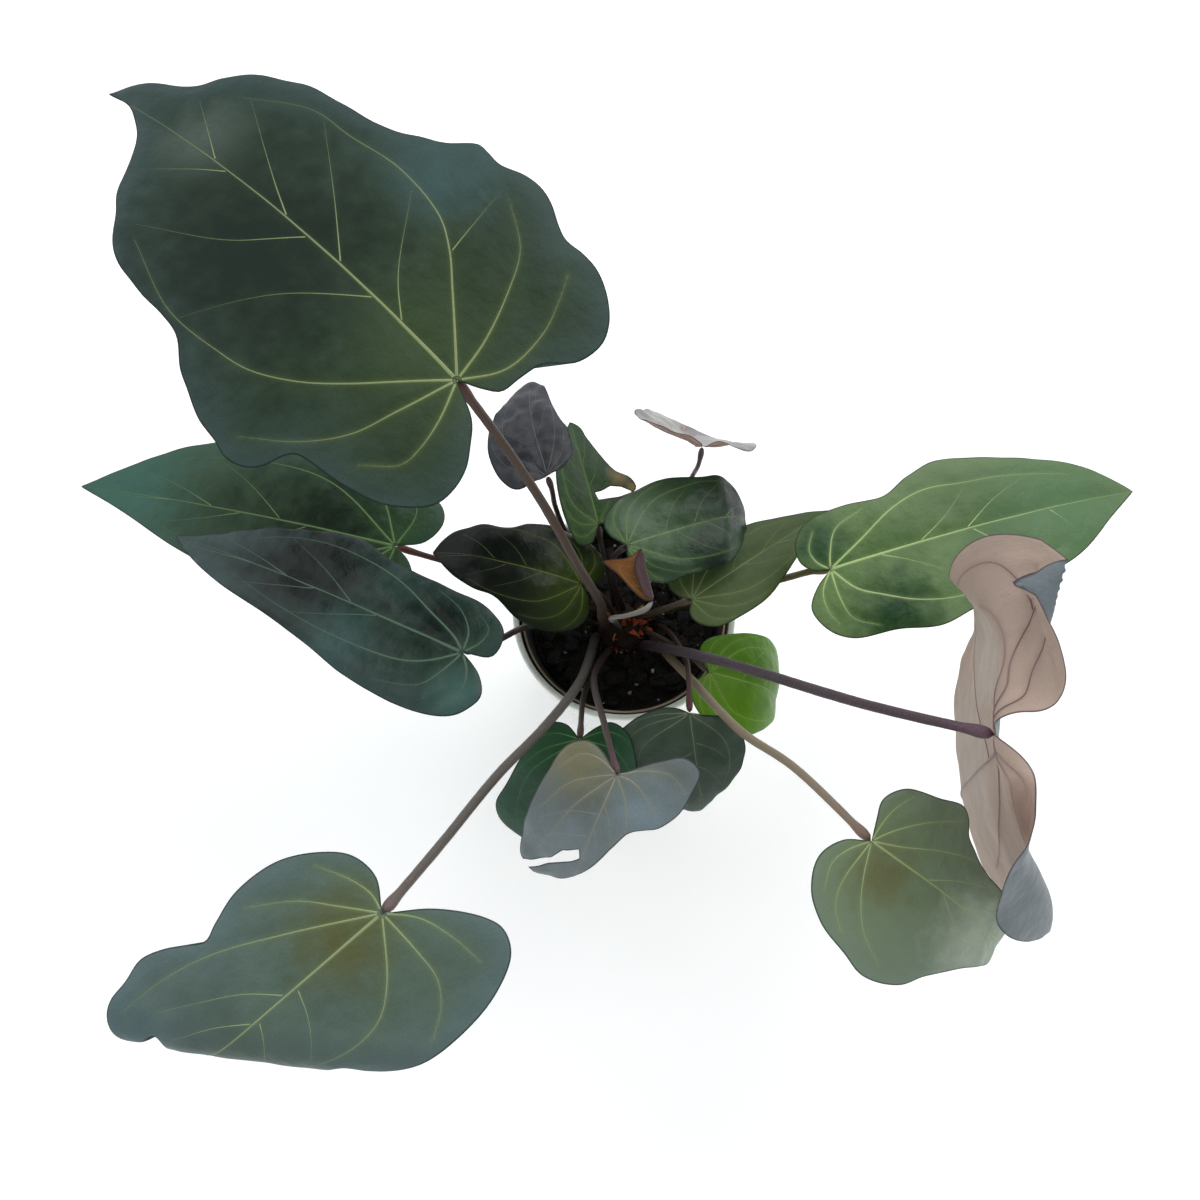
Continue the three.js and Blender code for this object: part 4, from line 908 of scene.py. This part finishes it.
def add_vein(shaper, form, line, wide, thin, above, below):
    """A rib that stands out of both faces of a blade, and runs out to a thin end."""
    count = max(6, round(length_of(line) / VEIN_STEP))
    centres = evenly(line, count + 1)
    verts, angle, along, row = shaper.tube(VEIN_SIDES, count)
    run = unit(np.gradient(centres, axis=0))[row]
    open_end = np.where((row == 0) | (row == count), 0, 1)
    half = (wide + (thin - wide) * np.sqrt(along)) / 2 * open_end
    height = np.sin(angle)
    flat = centres[row] + (np.cos(angle) * half)[:, None] * np.column_stack([-run[:, 1], run[:, 0]])
    fade = 1 - 0.6 * along
    wall = bpy.context.scene.anthurium_blades.thickness / MM / 2
    lift = height * np.where(height > 0, wall + above * fade, wall + below * fade) * open_end
    side = np.sign(np.round(height, 6))
    faces = shaper.settle(verts, form.place(flat, lift), np.column_stack([flat / FLAT_UNIT, 0 * lift]),
                          np.column_stack([height**2, along, side]), material=2)
    near = shaper.layers[1]
    for face in faces:
        if sum(vert[near][2] for vert in face.verts) < 0:
            face.material_index = 3


def add_petiole(shaper, form):
    """A round petiole from the crown to just inside the joint, swollen at its top and its foot."""
    up = form.place([(0, 0), (0.5, 0), (0, 0.5)])
    normal = np.cross(up[1] - up[0], up[2] - up[0])
    end = up[0] - 0.6 * normal / np.linalg.norm(normal)
    centres = spaced(curve([(*form.petiole[0][:2], PETIOLE_FOOT), *form.petiole, end]), PETIOLE_STEP)
    length = length_of(centres)
    along = np.linspace(0, 1, len(centres))
    low, high = form.thick
    radius = SLIMMER * (low + (high - low) * along)
    radius *= 1 + 0.3 * smooth((along * length - length + 17) / 9)
    radius *= 1 + 0.22 * smooth(1 - along * length / 22)
    radius[-2] *= 0.8
    radius[[0, -1]] = 0
    verts, angle, _, row = shaper.tube(PETIOLE_SIDES, len(centres) - 1)
    side, over = turned_frames(unit(np.gradient(centres, axis=0)))
    ring = np.cos(angle)[:, None] * side[row] + np.sin(angle)[:, None] * over[row]
    bumpy = 1 + 0.05 * lumps(centres[row] + 2 * ring, 5)
    so_far = along[row] * length
    shaper.settle(verts, centres[row] + ring * (radius[row] * bumpy)[:, None],
                  np.column_stack([so_far / 40, np.cos(angle) * 0.5, np.sin(angle) * 0.5]),
                  np.column_stack([length - so_far, so_far, 0 * angle]))


def colour_setting(name, description, colour):
    """A colour that a user can change."""
    return bpy.props.FloatVectorProperty(name=name, description=description, default=tint(colour),
                                         subtype="COLOR", size=4, min=0.0, max=1.0)


class AnthuriumBlades(bpy.types.PropertyGroup):
    thickness: bpy.props.FloatProperty(
        name="Thickness", description="How thick a blade is inside its margin",
        default=BLADE_THICKNESS * MM, min=0.0003, max=0.002, precision=4, unit="LENGTH")
    rib_above: bpy.props.FloatProperty(
        name="Rib above", description="How far the midrib stands out of the upper face, in millimetres",
        default=0.22, min=0.0, max=1.0)
    rib_below: bpy.props.FloatProperty(
        name="Rib below", description="How far the midrib stands out of the underside, in millimetres",
        default=1.1, min=0.0, max=3.0)
    shine: bpy.props.FloatProperty(
        name="Shine", description="How strongly the blades mirror what is round them",
        default=0.5, min=0.0, max=1.0, subtype="FACTOR")
    matt: bpy.props.FloatProperty(
        name="Matt", description="Added to the roughness of every upper face",
        default=0.0, min=-0.2, max=0.5)


class AnthuriumPots(bpy.types.PropertyGroup):
    glaze: colour_setting("Glaze", "Colour of the outer pot", "#dededb")
    plastic: colour_setting("Nursery pot", "Colour of the plastic nursery pot", "#161515")
    # The lip colour is a painted highlight: the pale tan along the top of the nursery pot's lip.
    lip: colour_setting("Lip", "Colour of the worn edge of the nursery pot's lip", "#b9a58c")


class AnthuriumMix(bpy.types.PropertyGroup):
    chips: bpy.props.IntProperty(
        name="Chips", description="Number of bark and charcoal chips", default=230, min=0, max=600)
    crumbs: bpy.props.IntProperty(
        name="Crumbs", description="Number of perlite crumbs", default=70, min=0, max=300)
    bark: colour_setting("Bark", "Colour of the bark chips", "#241a14")
    perlite: colour_setting("Perlite", "Colour of the perlite crumbs", "#c9c5bb")


class AnthuriumStage(bpy.types.PropertyGroup):
    floor: colour_setting("Floor", "Colour of the floor", (0.9, 0.9, 0.91, 1.0))
    glow: bpy.props.FloatProperty(
        name="Floor glow", description="How much the floor shines by itself", default=0.3, min=0.0)
    key: bpy.props.FloatProperty(
        name="Key light", description="Power of the main soft light", default=26.0, min=0.0, unit="POWER")
    air: bpy.props.FloatProperty(
        name="Surroundings", description="Brightness of the surroundings near the horizon",
        default=1.0, min=0.0)
    overhead: bpy.props.FloatProperty(
        name="Overhead", description="Brightness of the surroundings straight above",
        default=0.3, min=0.0)


class ANTHURIUM_OT_blades(bpy.types.Operator):
    """Makes the blade of every leaf, with its veins"""
    bl_idname = "anthurium.blades"
    bl_label = "Blades"

    def execute(self, context):
        blades = context.scene.anthurium_blades
        for number, (form, look) in enumerate(zip(FORMS, LOOKS), 1):
            shaper = Shaper(f"blade_{number:02d}")
            add_blade(shaper, form, blades.thickness / MM)
            size = np.clip(form.length / 200, 0.45, 1.15)
            above, below = blades.rib_above, blades.rib_below * size
            for lines, (wide, thin, up, down) in zip(([form.midrib], form.ribs, form.rungs), VEIN_KINDS):
                for line in lines:
                    add_vein(shaper, form, line, wide * size, thin, up * above, down * below)
            materials = [finish(f"{kind}_{number:02d}_{face}", look, face == "under")
                         for kind, finish in (("blade", blade_finish), ("vein", rib_finish))
                         for face in ("upper", "under")]
            hand_over(shaper.finish(materials), f"leaf_{number:02d}_blade")
        return {"FINISHED"}


class ANTHURIUM_OT_petioles(bpy.types.Operator):
    """Makes the petiole of every leaf"""
    bl_idname = "anthurium.petioles"
    bl_label = "Petioles"

    def execute(self, context):
        for number, (form, look) in enumerate(zip(FORMS, LOOKS), 1):
            name = f"petiole_{number:02d}"
            shaper = Shaper(name)
            add_petiole(shaper, form)
            hand_over(shaper.finish([petiole_finish(name, look)]), f"leaf_{number:02d}_petiole")
        return {"FINISHED"}


def turned(profile, sides):
    """A mesh turned round the plant's upright axis from [radius, height] points in millimetres."""
    bm = bmesh.new()
    verts = [bm.verts.new((radius * MM, 0, height * MM)) for radius, height in profile]
    edges = [bm.edges.new(pair) for pair in zip(verts, verts[1:])]
    bmesh.ops.spin(bm, geom=verts + edges, axis=(0, 0, 1), cent=(0, 0, 0), dvec=(0, 0, 0),
                   angle=2 * math.pi, steps=sides, use_merge=True)
    bmesh.ops.remove_doubles(bm, verts=bm.verts, dist=0.01 * MM)
    bmesh.ops.recalc_face_normals(bm, faces=bm.faces)
    for face in bm.faces:
        face.smooth = True
    return bm


class ANTHURIUM_OT_outer_pot(bpy.types.Operator):
    """Makes the white glazed outer pot"""
    bl_idname = "anthurium.outer_pot"
    bl_label = "Outer pot"

    def execute(self, context):
        pots = context.scene.anthurium_pots
        _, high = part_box("outer_pot")
        middle, top = high.x / MM - 2, high.z / MM
        rim = [(middle + 2 * math.cos(a), top - 2.2 + 2.2 * math.sin(a))
               for a in np.linspace(-0.4, math.pi, 12)]
        outside = curve([(55, 2), (60.2, 38), (64.4, 72), (68.6, 108), (69.9, top - 6)], 6)
        inner = curve([(middle - 2.2, top - 7), (64.6, 108), (60.5, 72), (55.6, 30), (51.5, 7)], 6)
        profile = [(0, 0.8), (46, 0.8), (47, 0), (53.4, 0), (54.6, 0.6), *outside, *rim, *inner,
                   (49.5, 5.2), (0, 5)]
        f = Finish("pot_glaze", Coat_Roughness=0.06, IOR=1.5, Coat_Weight=0.6)
        here = f.here()
        drift = f.clouds(here, 22, detail=4, contrast=1.6)
        specks = f.cracks(here, 420).below(0.05, 0.04) * f.clouds(here, 60, contrast=2.4).above(0.72, 0.1)
        colour = f.mix(drift * 0.35, pots.glaze, shade(pots.glaze, 0.86))
        colour = f.mix(specks * 0.4, colour, "#a89f92")
        material = f.done(colour, drift * 0.08 + 0.14, f.clouds(here, 90), 0.0004, 0.15)
        hand_over(as_piece("outer_pot_glazed", turned(profile, 128), [material]), "outer_pot")
        return {"FINISHED"}


class ANTHURIUM_OT_nursery_pot(bpy.types.Operator):
    """Makes the plastic nursery pot"""
    bl_idname = "anthurium.nursery_pot"
    bl_label = "Nursery pot"

    def execute(self, context):
        pots = context.scene.anthurium_pots
        low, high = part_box("nursery_pot")
        radius, top, base = high.x / MM, high.z / MM, low.z / MM
        profile = [(0, base + 0.4), (44, base + 0.4), (45, base), (46.4, base + 0.4), (47, base + 2),
                   *curve([(47.4, base + 8), (54, 60), (radius - 3.4, top - 9.4)], 5),
                   (radius - 1.4, top - 8.6), (radius - 0.2, top - 7.8), (radius, top - 7),
                   (radius - 0.1, top - 0.6), (radius - 0.6, top), (radius - 1.3, top),
                   (radius - 1.7, top - 0.6), (radius - 1.9, top - 6.6), (radius - 4.2, top - 8.4),
                   (radius - 4.9, top - 9.8), (46, base + 6), (45.4, base + 2.2), (0, base + 2)]
        f = Finish("nursery_plastic", IOR=1.48)
        here = f.here()
        height = f.node("ShaderNodeSeparateXYZ", {0: here}, output=2) * (1 / MM)
        scuffs = f.clouds(here, 180, detail=5, contrast=2.2)
        dust = f.clouds(here, 35, detail=4, contrast=2.0)
        # Painted highlight: a pale tan band along the top of the lip, broken up by the dust noise.
        highlit = height.above(top - 0.5, 0.5) * (dust * 0.5 + 0.45)
        colour = f.mix(dust * 0.25, pots.plastic, "#3c3530")
        colour = f.mix(highlit, colour, pots.lip)
        material = f.done(colour, scuffs * 0.25 + 0.35, scuffs, 0.0003, 0.3)
        hand_over(as_piece("nursery_pot_plastic", turned(profile, 120), [material]), "nursery_pot")
        return {"FINISHED"}


def add_chunk(bm, rng, where, size, material, round_one):
    """A rough lump with its own proportions and tilt."""
    if round_one:
        verts = bmesh.ops.create_icosphere(bm, subdivisions=1, radius=0.5)["verts"]
    else:
        verts = bmesh.ops.create_cube(bm, size=1.0)["verts"]
        edges = {edge for vert in verts for edge in vert.link_edges}
        verts = bmesh.ops.bevel(bm, geom=list(edges), offset=0.14, affect="EDGES", segments=1,
                                profile=0.5, material=-1)["verts"]
    for vert in verts:
        vert.co += Vector([rng.uniform(-0.09, 0.09) for _ in range(3)])
    tilt = Euler((rng.uniform(-0.6, 0.6), rng.uniform(-0.6, 0.6), rng.uniform(0, 2 * math.pi)))
    move = Matrix.Translation(Vector(where) * MM) @ tilt.to_matrix().to_4x4()
    bmesh.ops.transform(bm, matrix=move @ Matrix.Diagonal((*(Vector(size) * MM), 1.0)), verts=verts)
    for face in {face for vert in verts for face in vert.link_faces}:
        face.material_index = material
        face.smooth = round_one


class ANTHURIUM_OT_potting_mix(bpy.types.Operator):
    """Makes the bark mix with its chips, charcoal and perlite"""
    bl_idname = "anthurium.potting_mix"
    bl_label = "Potting mix"

    def execute(self, context):
        mix = context.scene.anthurium_mix
        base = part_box("potting_mix")[0].z / MM
        top = [(r, MIX_TOP - 1.2) for r in np.linspace(0, MIX_RADIUS, 40)]
        wall = [(58.3, MIX_TOP - 8), (54, 70), (46, base + 8), (44.8, base), (0, base)]
        bm = turned(top + wall, 110)
        for vert in bm.verts:
            x, y, z = vert.co / MM
            if z > MIX_TOP - 3:
                away = math.hypot(x, y)
                rough = 1.7 * noise.noise(Vector((x, y, 0)) / 9)
                rough += 1.1 * noise.noise(Vector((x, y, 7)) / 3.2) - self.sunk(away, 50)
                vert.co.z += rough * MM * min(1.0, (MIX_RADIUS - away) / 2)
        rng = random.Random(11)
        for _ in range(mix.chips):
            angle, away, long = self.scatter(rng, 55, 0.02, 5, 13)
            size = (long, long * rng.uniform(0.4, 0.75), rng.uniform(2.2, 5))
            where = self.where(angle, away, rng.uniform(-2.0, 1.2))
            add_chunk(bm, rng, where, size, 1 if rng.random() < 0.6 else 2, False)
        for _ in range(mix.crumbs):
            angle, away, long = self.scatter(rng, 57, 0.03, 1.2, 3.4)
            where = self.where(angle, away, rng.uniform(-1.0, 2.0))
            add_chunk(bm, rng, where, (long, long * 0.8, long * 0.7), 3, True)
        materials = [
            self.crumbly("mix_fines", "#080605", "#18120e", 300),
            self.crumbly("mix_bark", mix.bark, "#0e0a08", 160),
            self.crumbly("mix_charcoal", "#080707", "#161516", 220),
            self.crumbly("mix_perlite", mix.perlite, "#7d766a", 260),
        ]
        hand_over(as_piece("potting_mix_chunks", bm, materials), "potting_mix")
        return {"FINISHED"}

    def sunk(self, away, edge):
        """How far the mix lies lower past a distance from its middle."""
        return 3.0 * max(0.0, away - edge) / 9

    def scatter(self, rng, reach, least, short, long):
        """An angle and a distance from the middle, spread evenly over the mix, and a length."""
        angle, away = rng.uniform(0, 2 * math.pi), reach * math.sqrt(rng.uniform(least, 1))
        return angle, away, rng.uniform(short, long)

    def where(self, angle, away, high):
        """A place on the mix."""
        return away * math.cos(angle), away * math.sin(angle), MIX_TOP + high - self.sunk(away, 48)

    def crumbly(self, name, colour, other, scale):
        f = Finish(name, Specular_IOR_Level=0.3)
        here = f.here()
        fine = f.clouds(here, scale * 3, detail=5, contrast=1.8)
        coarse = f.clouds(here, scale, detail=4, contrast=1.9)
        colour = f.mix(fine * 0.4, f.mix(coarse, colour, other), other)
        return f.done(colour, fine * 0.2 + 0.7, fine + coarse * 1.5, 0.0012, 0.7)


class ANTHURIUM_OT_crown(bpy.types.Operator):
    """Makes the short stem with its leaf scars and torn papery fibres"""
    bl_idname = "anthurium.crown"
    bl_label = "Crown"

    def execute(self, context):
        shaper = Shaper("crown")
        profile = curve([(0.5, 84), (13, 85), (16, 94), (17, 104), (16, 111), (12, 116), (7, 118.5),
                         (0.5, 119.5)], 8)
        last = len(profile) - 1
        verts, angle, _, row = shaper.tube(72, last)
        around = np.column_stack([np.cos(angle), np.sin(angle)])
        radius, height = profile[row].T
        spots = np.column_stack([around * radius[:, None], height])
        bumps = 1.5 * lumps(spots, 7) + 0.7 * np.sin(height * 1.7 + 3 * np.cos(angle))
        radius = np.where((row == 0) | (row == last), 0, radius + bumps * smooth(radius / 8))
        where = np.column_stack([CROWN_CENTRE + around * radius[:, None], height])
        shaper.settle(verts, where, spots / 20, 0 * spots)
        rng = random.Random(4)
        for strip in self.strips(rng):
            self.add_strip(shaper, rng, *strip)
        materials = [
            self.fibrous("crown_stem", "#1c120d", "#33221a", 0.85),
            self.fibrous("fibre_rust", "#8a3418", "#c2572a", 0.6),
            self.fibrous("fibre_brown", "#2e1a12", "#54301f", 0.75),
            self.fibrous("fibre_tan", "#a0764a", "#c79a63", 0.65),
        ]
        hand_over(shaper.finish(materials), "crown_stem")
        return {"FINISHED"}

    def strips(self, rng):
        """The strips' feet, heights, widths, leans, headings and materials: bright ones, then brown."""
        bright = ((2, -3, 118, 13, 5, 18, 60), (6, -5, 118, 14, 6, 24, 10), (10, -4, 116, 12, 5, 30, -20),
                  (4, -9, 116, 10, 5, 34, -60), (9, -9, 115, 10, 4, 30, -40), (13, -7, 113, 9, 4, 40, -10),
                  (0, -7, 117, 11, 4, 22, 100), (-5, -14, 111, 14, 4, 12, -100),
                  (-6, -18, 109, 12, 3, 26, -90), (7, -20, 108, 6, 3, 30, -80),
                  (17, -17, 107, 8, 3, 20, -40))
        for x, y, z, *shape in bright:
            yield ((x, y, z), *shape, 1)
        for i in range(34):
            angle, away = 2 * math.pi * (i + rng.random()) / 34, rng.uniform(5, 15)
            x, y = CROWN_CENTRE[0] + away * math.cos(angle), CROWN_CENTRE[1] + away * math.sin(angle)
            yield ((x, y, 117 - away * 0.7), rng.uniform(8, 18), rng.uniform(1.5, 5), rng.uniform(5, 45),
                   math.degrees(angle), 3 if i % 9 == 4 else 2)

    def add_strip(self, shaper, rng, foot, tall, wide, lean, turn, material):
        """A thin curling strip with a torn end."""
        count = 9
        steps = np.linspace(0, 1, count + 1)
        tilt = np.radians(lean * (0.3 + 1.4 * steps + 0.5 * rng.uniform(-1, 1) * steps**2))
        away = np.cumsum(np.sin(tilt)) * tall / count
        rise = np.cumsum(np.cos(tilt)) * tall / count
        heading = np.radians(turn) + 0.5 * rng.uniform(-1, 1) * steps
        centres = np.column_stack([foot[0] + away * np.cos(heading), foot[1] + away * np.sin(heading),
                                   foot[2] + rise - 2])
        verts, angle, along, row = shaper.tube(10, count)
        closed = np.where((row == 0) | (row == count), 0, 1)
        half = wide / 2 * (1 - 0.75 * along**1.5) * closed
        yaw = heading[row] + np.pi / 2
        across = np.column_stack([np.cos(yaw), np.sin(yaw), 0 * yaw])
        out = np.column_stack([np.cos(heading[row]), np.sin(heading[row]), 0 * yaw])
        spread = np.cos(angle) * half
        curl = 0.12 * spread**2 + 0.5 * np.sin(9 * along + wide)
        shift = across * spread[:, None] + out * (0.18 * np.sin(angle) * closed - curl * closed)[:, None]
        where = centres[row] + shift
        shaper.settle(verts, where, where / 20, 0 * where, material)

    def fibrous(self, name, dark, light, rough):
        f = Finish(name, Specular_IOR_Level=0.35)
        flat, _ = f.carried()
        strands = f.clouds(f.vector("MULTIPLY", flat, (3.0, 3.0, 0.6)), 8, detail=5, contrast=2.0)
        patches = f.clouds(flat, 3, contrast=1.6)
        colour = f.mix(patches * 0.5, f.mix(strands, dark, light), dark)
        return f.done(colour, strands * 0.15 + (rough - 0.05), strands, 0.0006, 0.7)


class ANTHURIUM_OT_stage(bpy.types.Operator):
    """Makes the floor, the lights, the surroundings and the camera"""
    bl_idname = "anthurium.stage"
    bl_label = "Stage"

    def execute(self, context):
        scene = context.scene
        stage = scene.anthurium_stage
        bm = bmesh.new()
        bmesh.ops.create_grid(bm, x_segments=8, y_segments=8, size=4.0)
        f = Finish("floor", Specular_IOR_Level=0.2, Emission_Color=(1, 1, 1, 1),
                   Emission_Strength=stage.glow)
        haze = f.clouds(f.here(), 3, detail=2)
        colour = f.mix(haze, stage.floor, shade(stage.floor, 0.97))
        as_piece("floor", bm, [f.done(colour, haze * 0.1 + 0.7)])
        for name, place, size, share in LIGHTS:
            light = bpy.data.lights.new(name, "AREA")
            light.size = size
            light.energy = stage.key * share
            lamp = self.put(name, light, place)
            lamp.rotation_euler = (LIGHTS_MEET - Vector(place)).to_track_quat("-Z", "Y").to_euler()
        lens = bpy.data.cameras.new("camera")
        lens.angle = math.radians(CAMERA_ANGLE)
        lens.clip_start = 0.05
        scene.camera = self.put("camera", lens, CAMERA_PLACE)
        scene.camera.rotation_euler = (math.radians(CAMERA_TILT), 0, 0)
        world = bpy.data.worlds.new("surroundings")
        world.use_nodes = True
        nodes, links = world.node_tree.nodes, world.node_tree.links
        sky = nodes["Background"]
        sky.inputs["Color"].default_value = (0.96, 0.98, 1.0, 1.0)
        split, fall = nodes.new("ShaderNodeSeparateXYZ"), nodes.new("ShaderNodeMapRange")
        for socket, value in enumerate((0.3, 1.0, stage.air, stage.overhead), 1):
            fall.inputs[socket].default_value = value
        links.new(nodes.new("ShaderNodeTexCoord").outputs["Generated"], split.inputs[0])
        links.new(split.outputs["Z"], fall.inputs[0])
        links.new(fall.outputs[0], sky.inputs["Strength"])
        scene.world = world
        scene.view_settings.view_transform = "Standard"
        return {"FINISHED"}

    def put(self, name, data, place):
        """A light or a camera at its place."""
        made = bpy.data.objects.new(name, data)
        made.location = place
        bpy.context.scene.collection.objects.link(made)
        return made


class ANTHURIUM_PT_panel(bpy.types.Panel):
    """Lists the pieces of the plant and their settings"""
    bl_idname = "ANTHURIUM_PT_panel"
    bl_label = "Potted anthurium"
    bl_space_type = "VIEW_3D"
    bl_region_type = "UI"
    bl_category = "Anthurium"

    def draw(self, context):
        for group, _ in GROUPS:
            box = self.layout.box()
            settings = getattr(context.scene, group)
            for key in settings.__annotations__:
                box.prop(settings, key)
        for operator in OPERATORS:
            self.layout.operator(operator.bl_idname)


GROUPS = (
    ("anthurium_blades", AnthuriumBlades),
    ("anthurium_pots", AnthuriumPots),
    ("anthurium_mix", AnthuriumMix),
    ("anthurium_stage", AnthuriumStage),
)
OPERATORS = (
    ANTHURIUM_OT_stage,
    ANTHURIUM_OT_outer_pot,
    ANTHURIUM_OT_nursery_pot,
    ANTHURIUM_OT_potting_mix,
    ANTHURIUM_OT_crown,
    ANTHURIUM_OT_petioles,
    ANTHURIUM_OT_blades,
)


def register():
    for name, group in GROUPS:
        bpy.utils.register_class(group)
        setattr(bpy.types.Scene, name, bpy.props.PointerProperty(type=group))
    for kind in (*OPERATORS, ANTHURIUM_PT_panel):
        bpy.utils.register_class(kind)


def unregister():
    for kind in (ANTHURIUM_PT_panel, *reversed(OPERATORS)):
        bpy.utils.unregister_class(kind)
    for name, group in reversed(GROUPS):
        delattr(bpy.types.Scene, name)
        bpy.utils.unregister_class(group)


def main():
    register()
    for operator in OPERATORS:
        group, name = operator.bl_idname.split(".")
        if getattr(getattr(bpy.ops, group), name)() != {"FINISHED"}:
            raise RuntimeError(f"{operator.bl_label} could not be made")


if __name__ == "__main__":
    main()
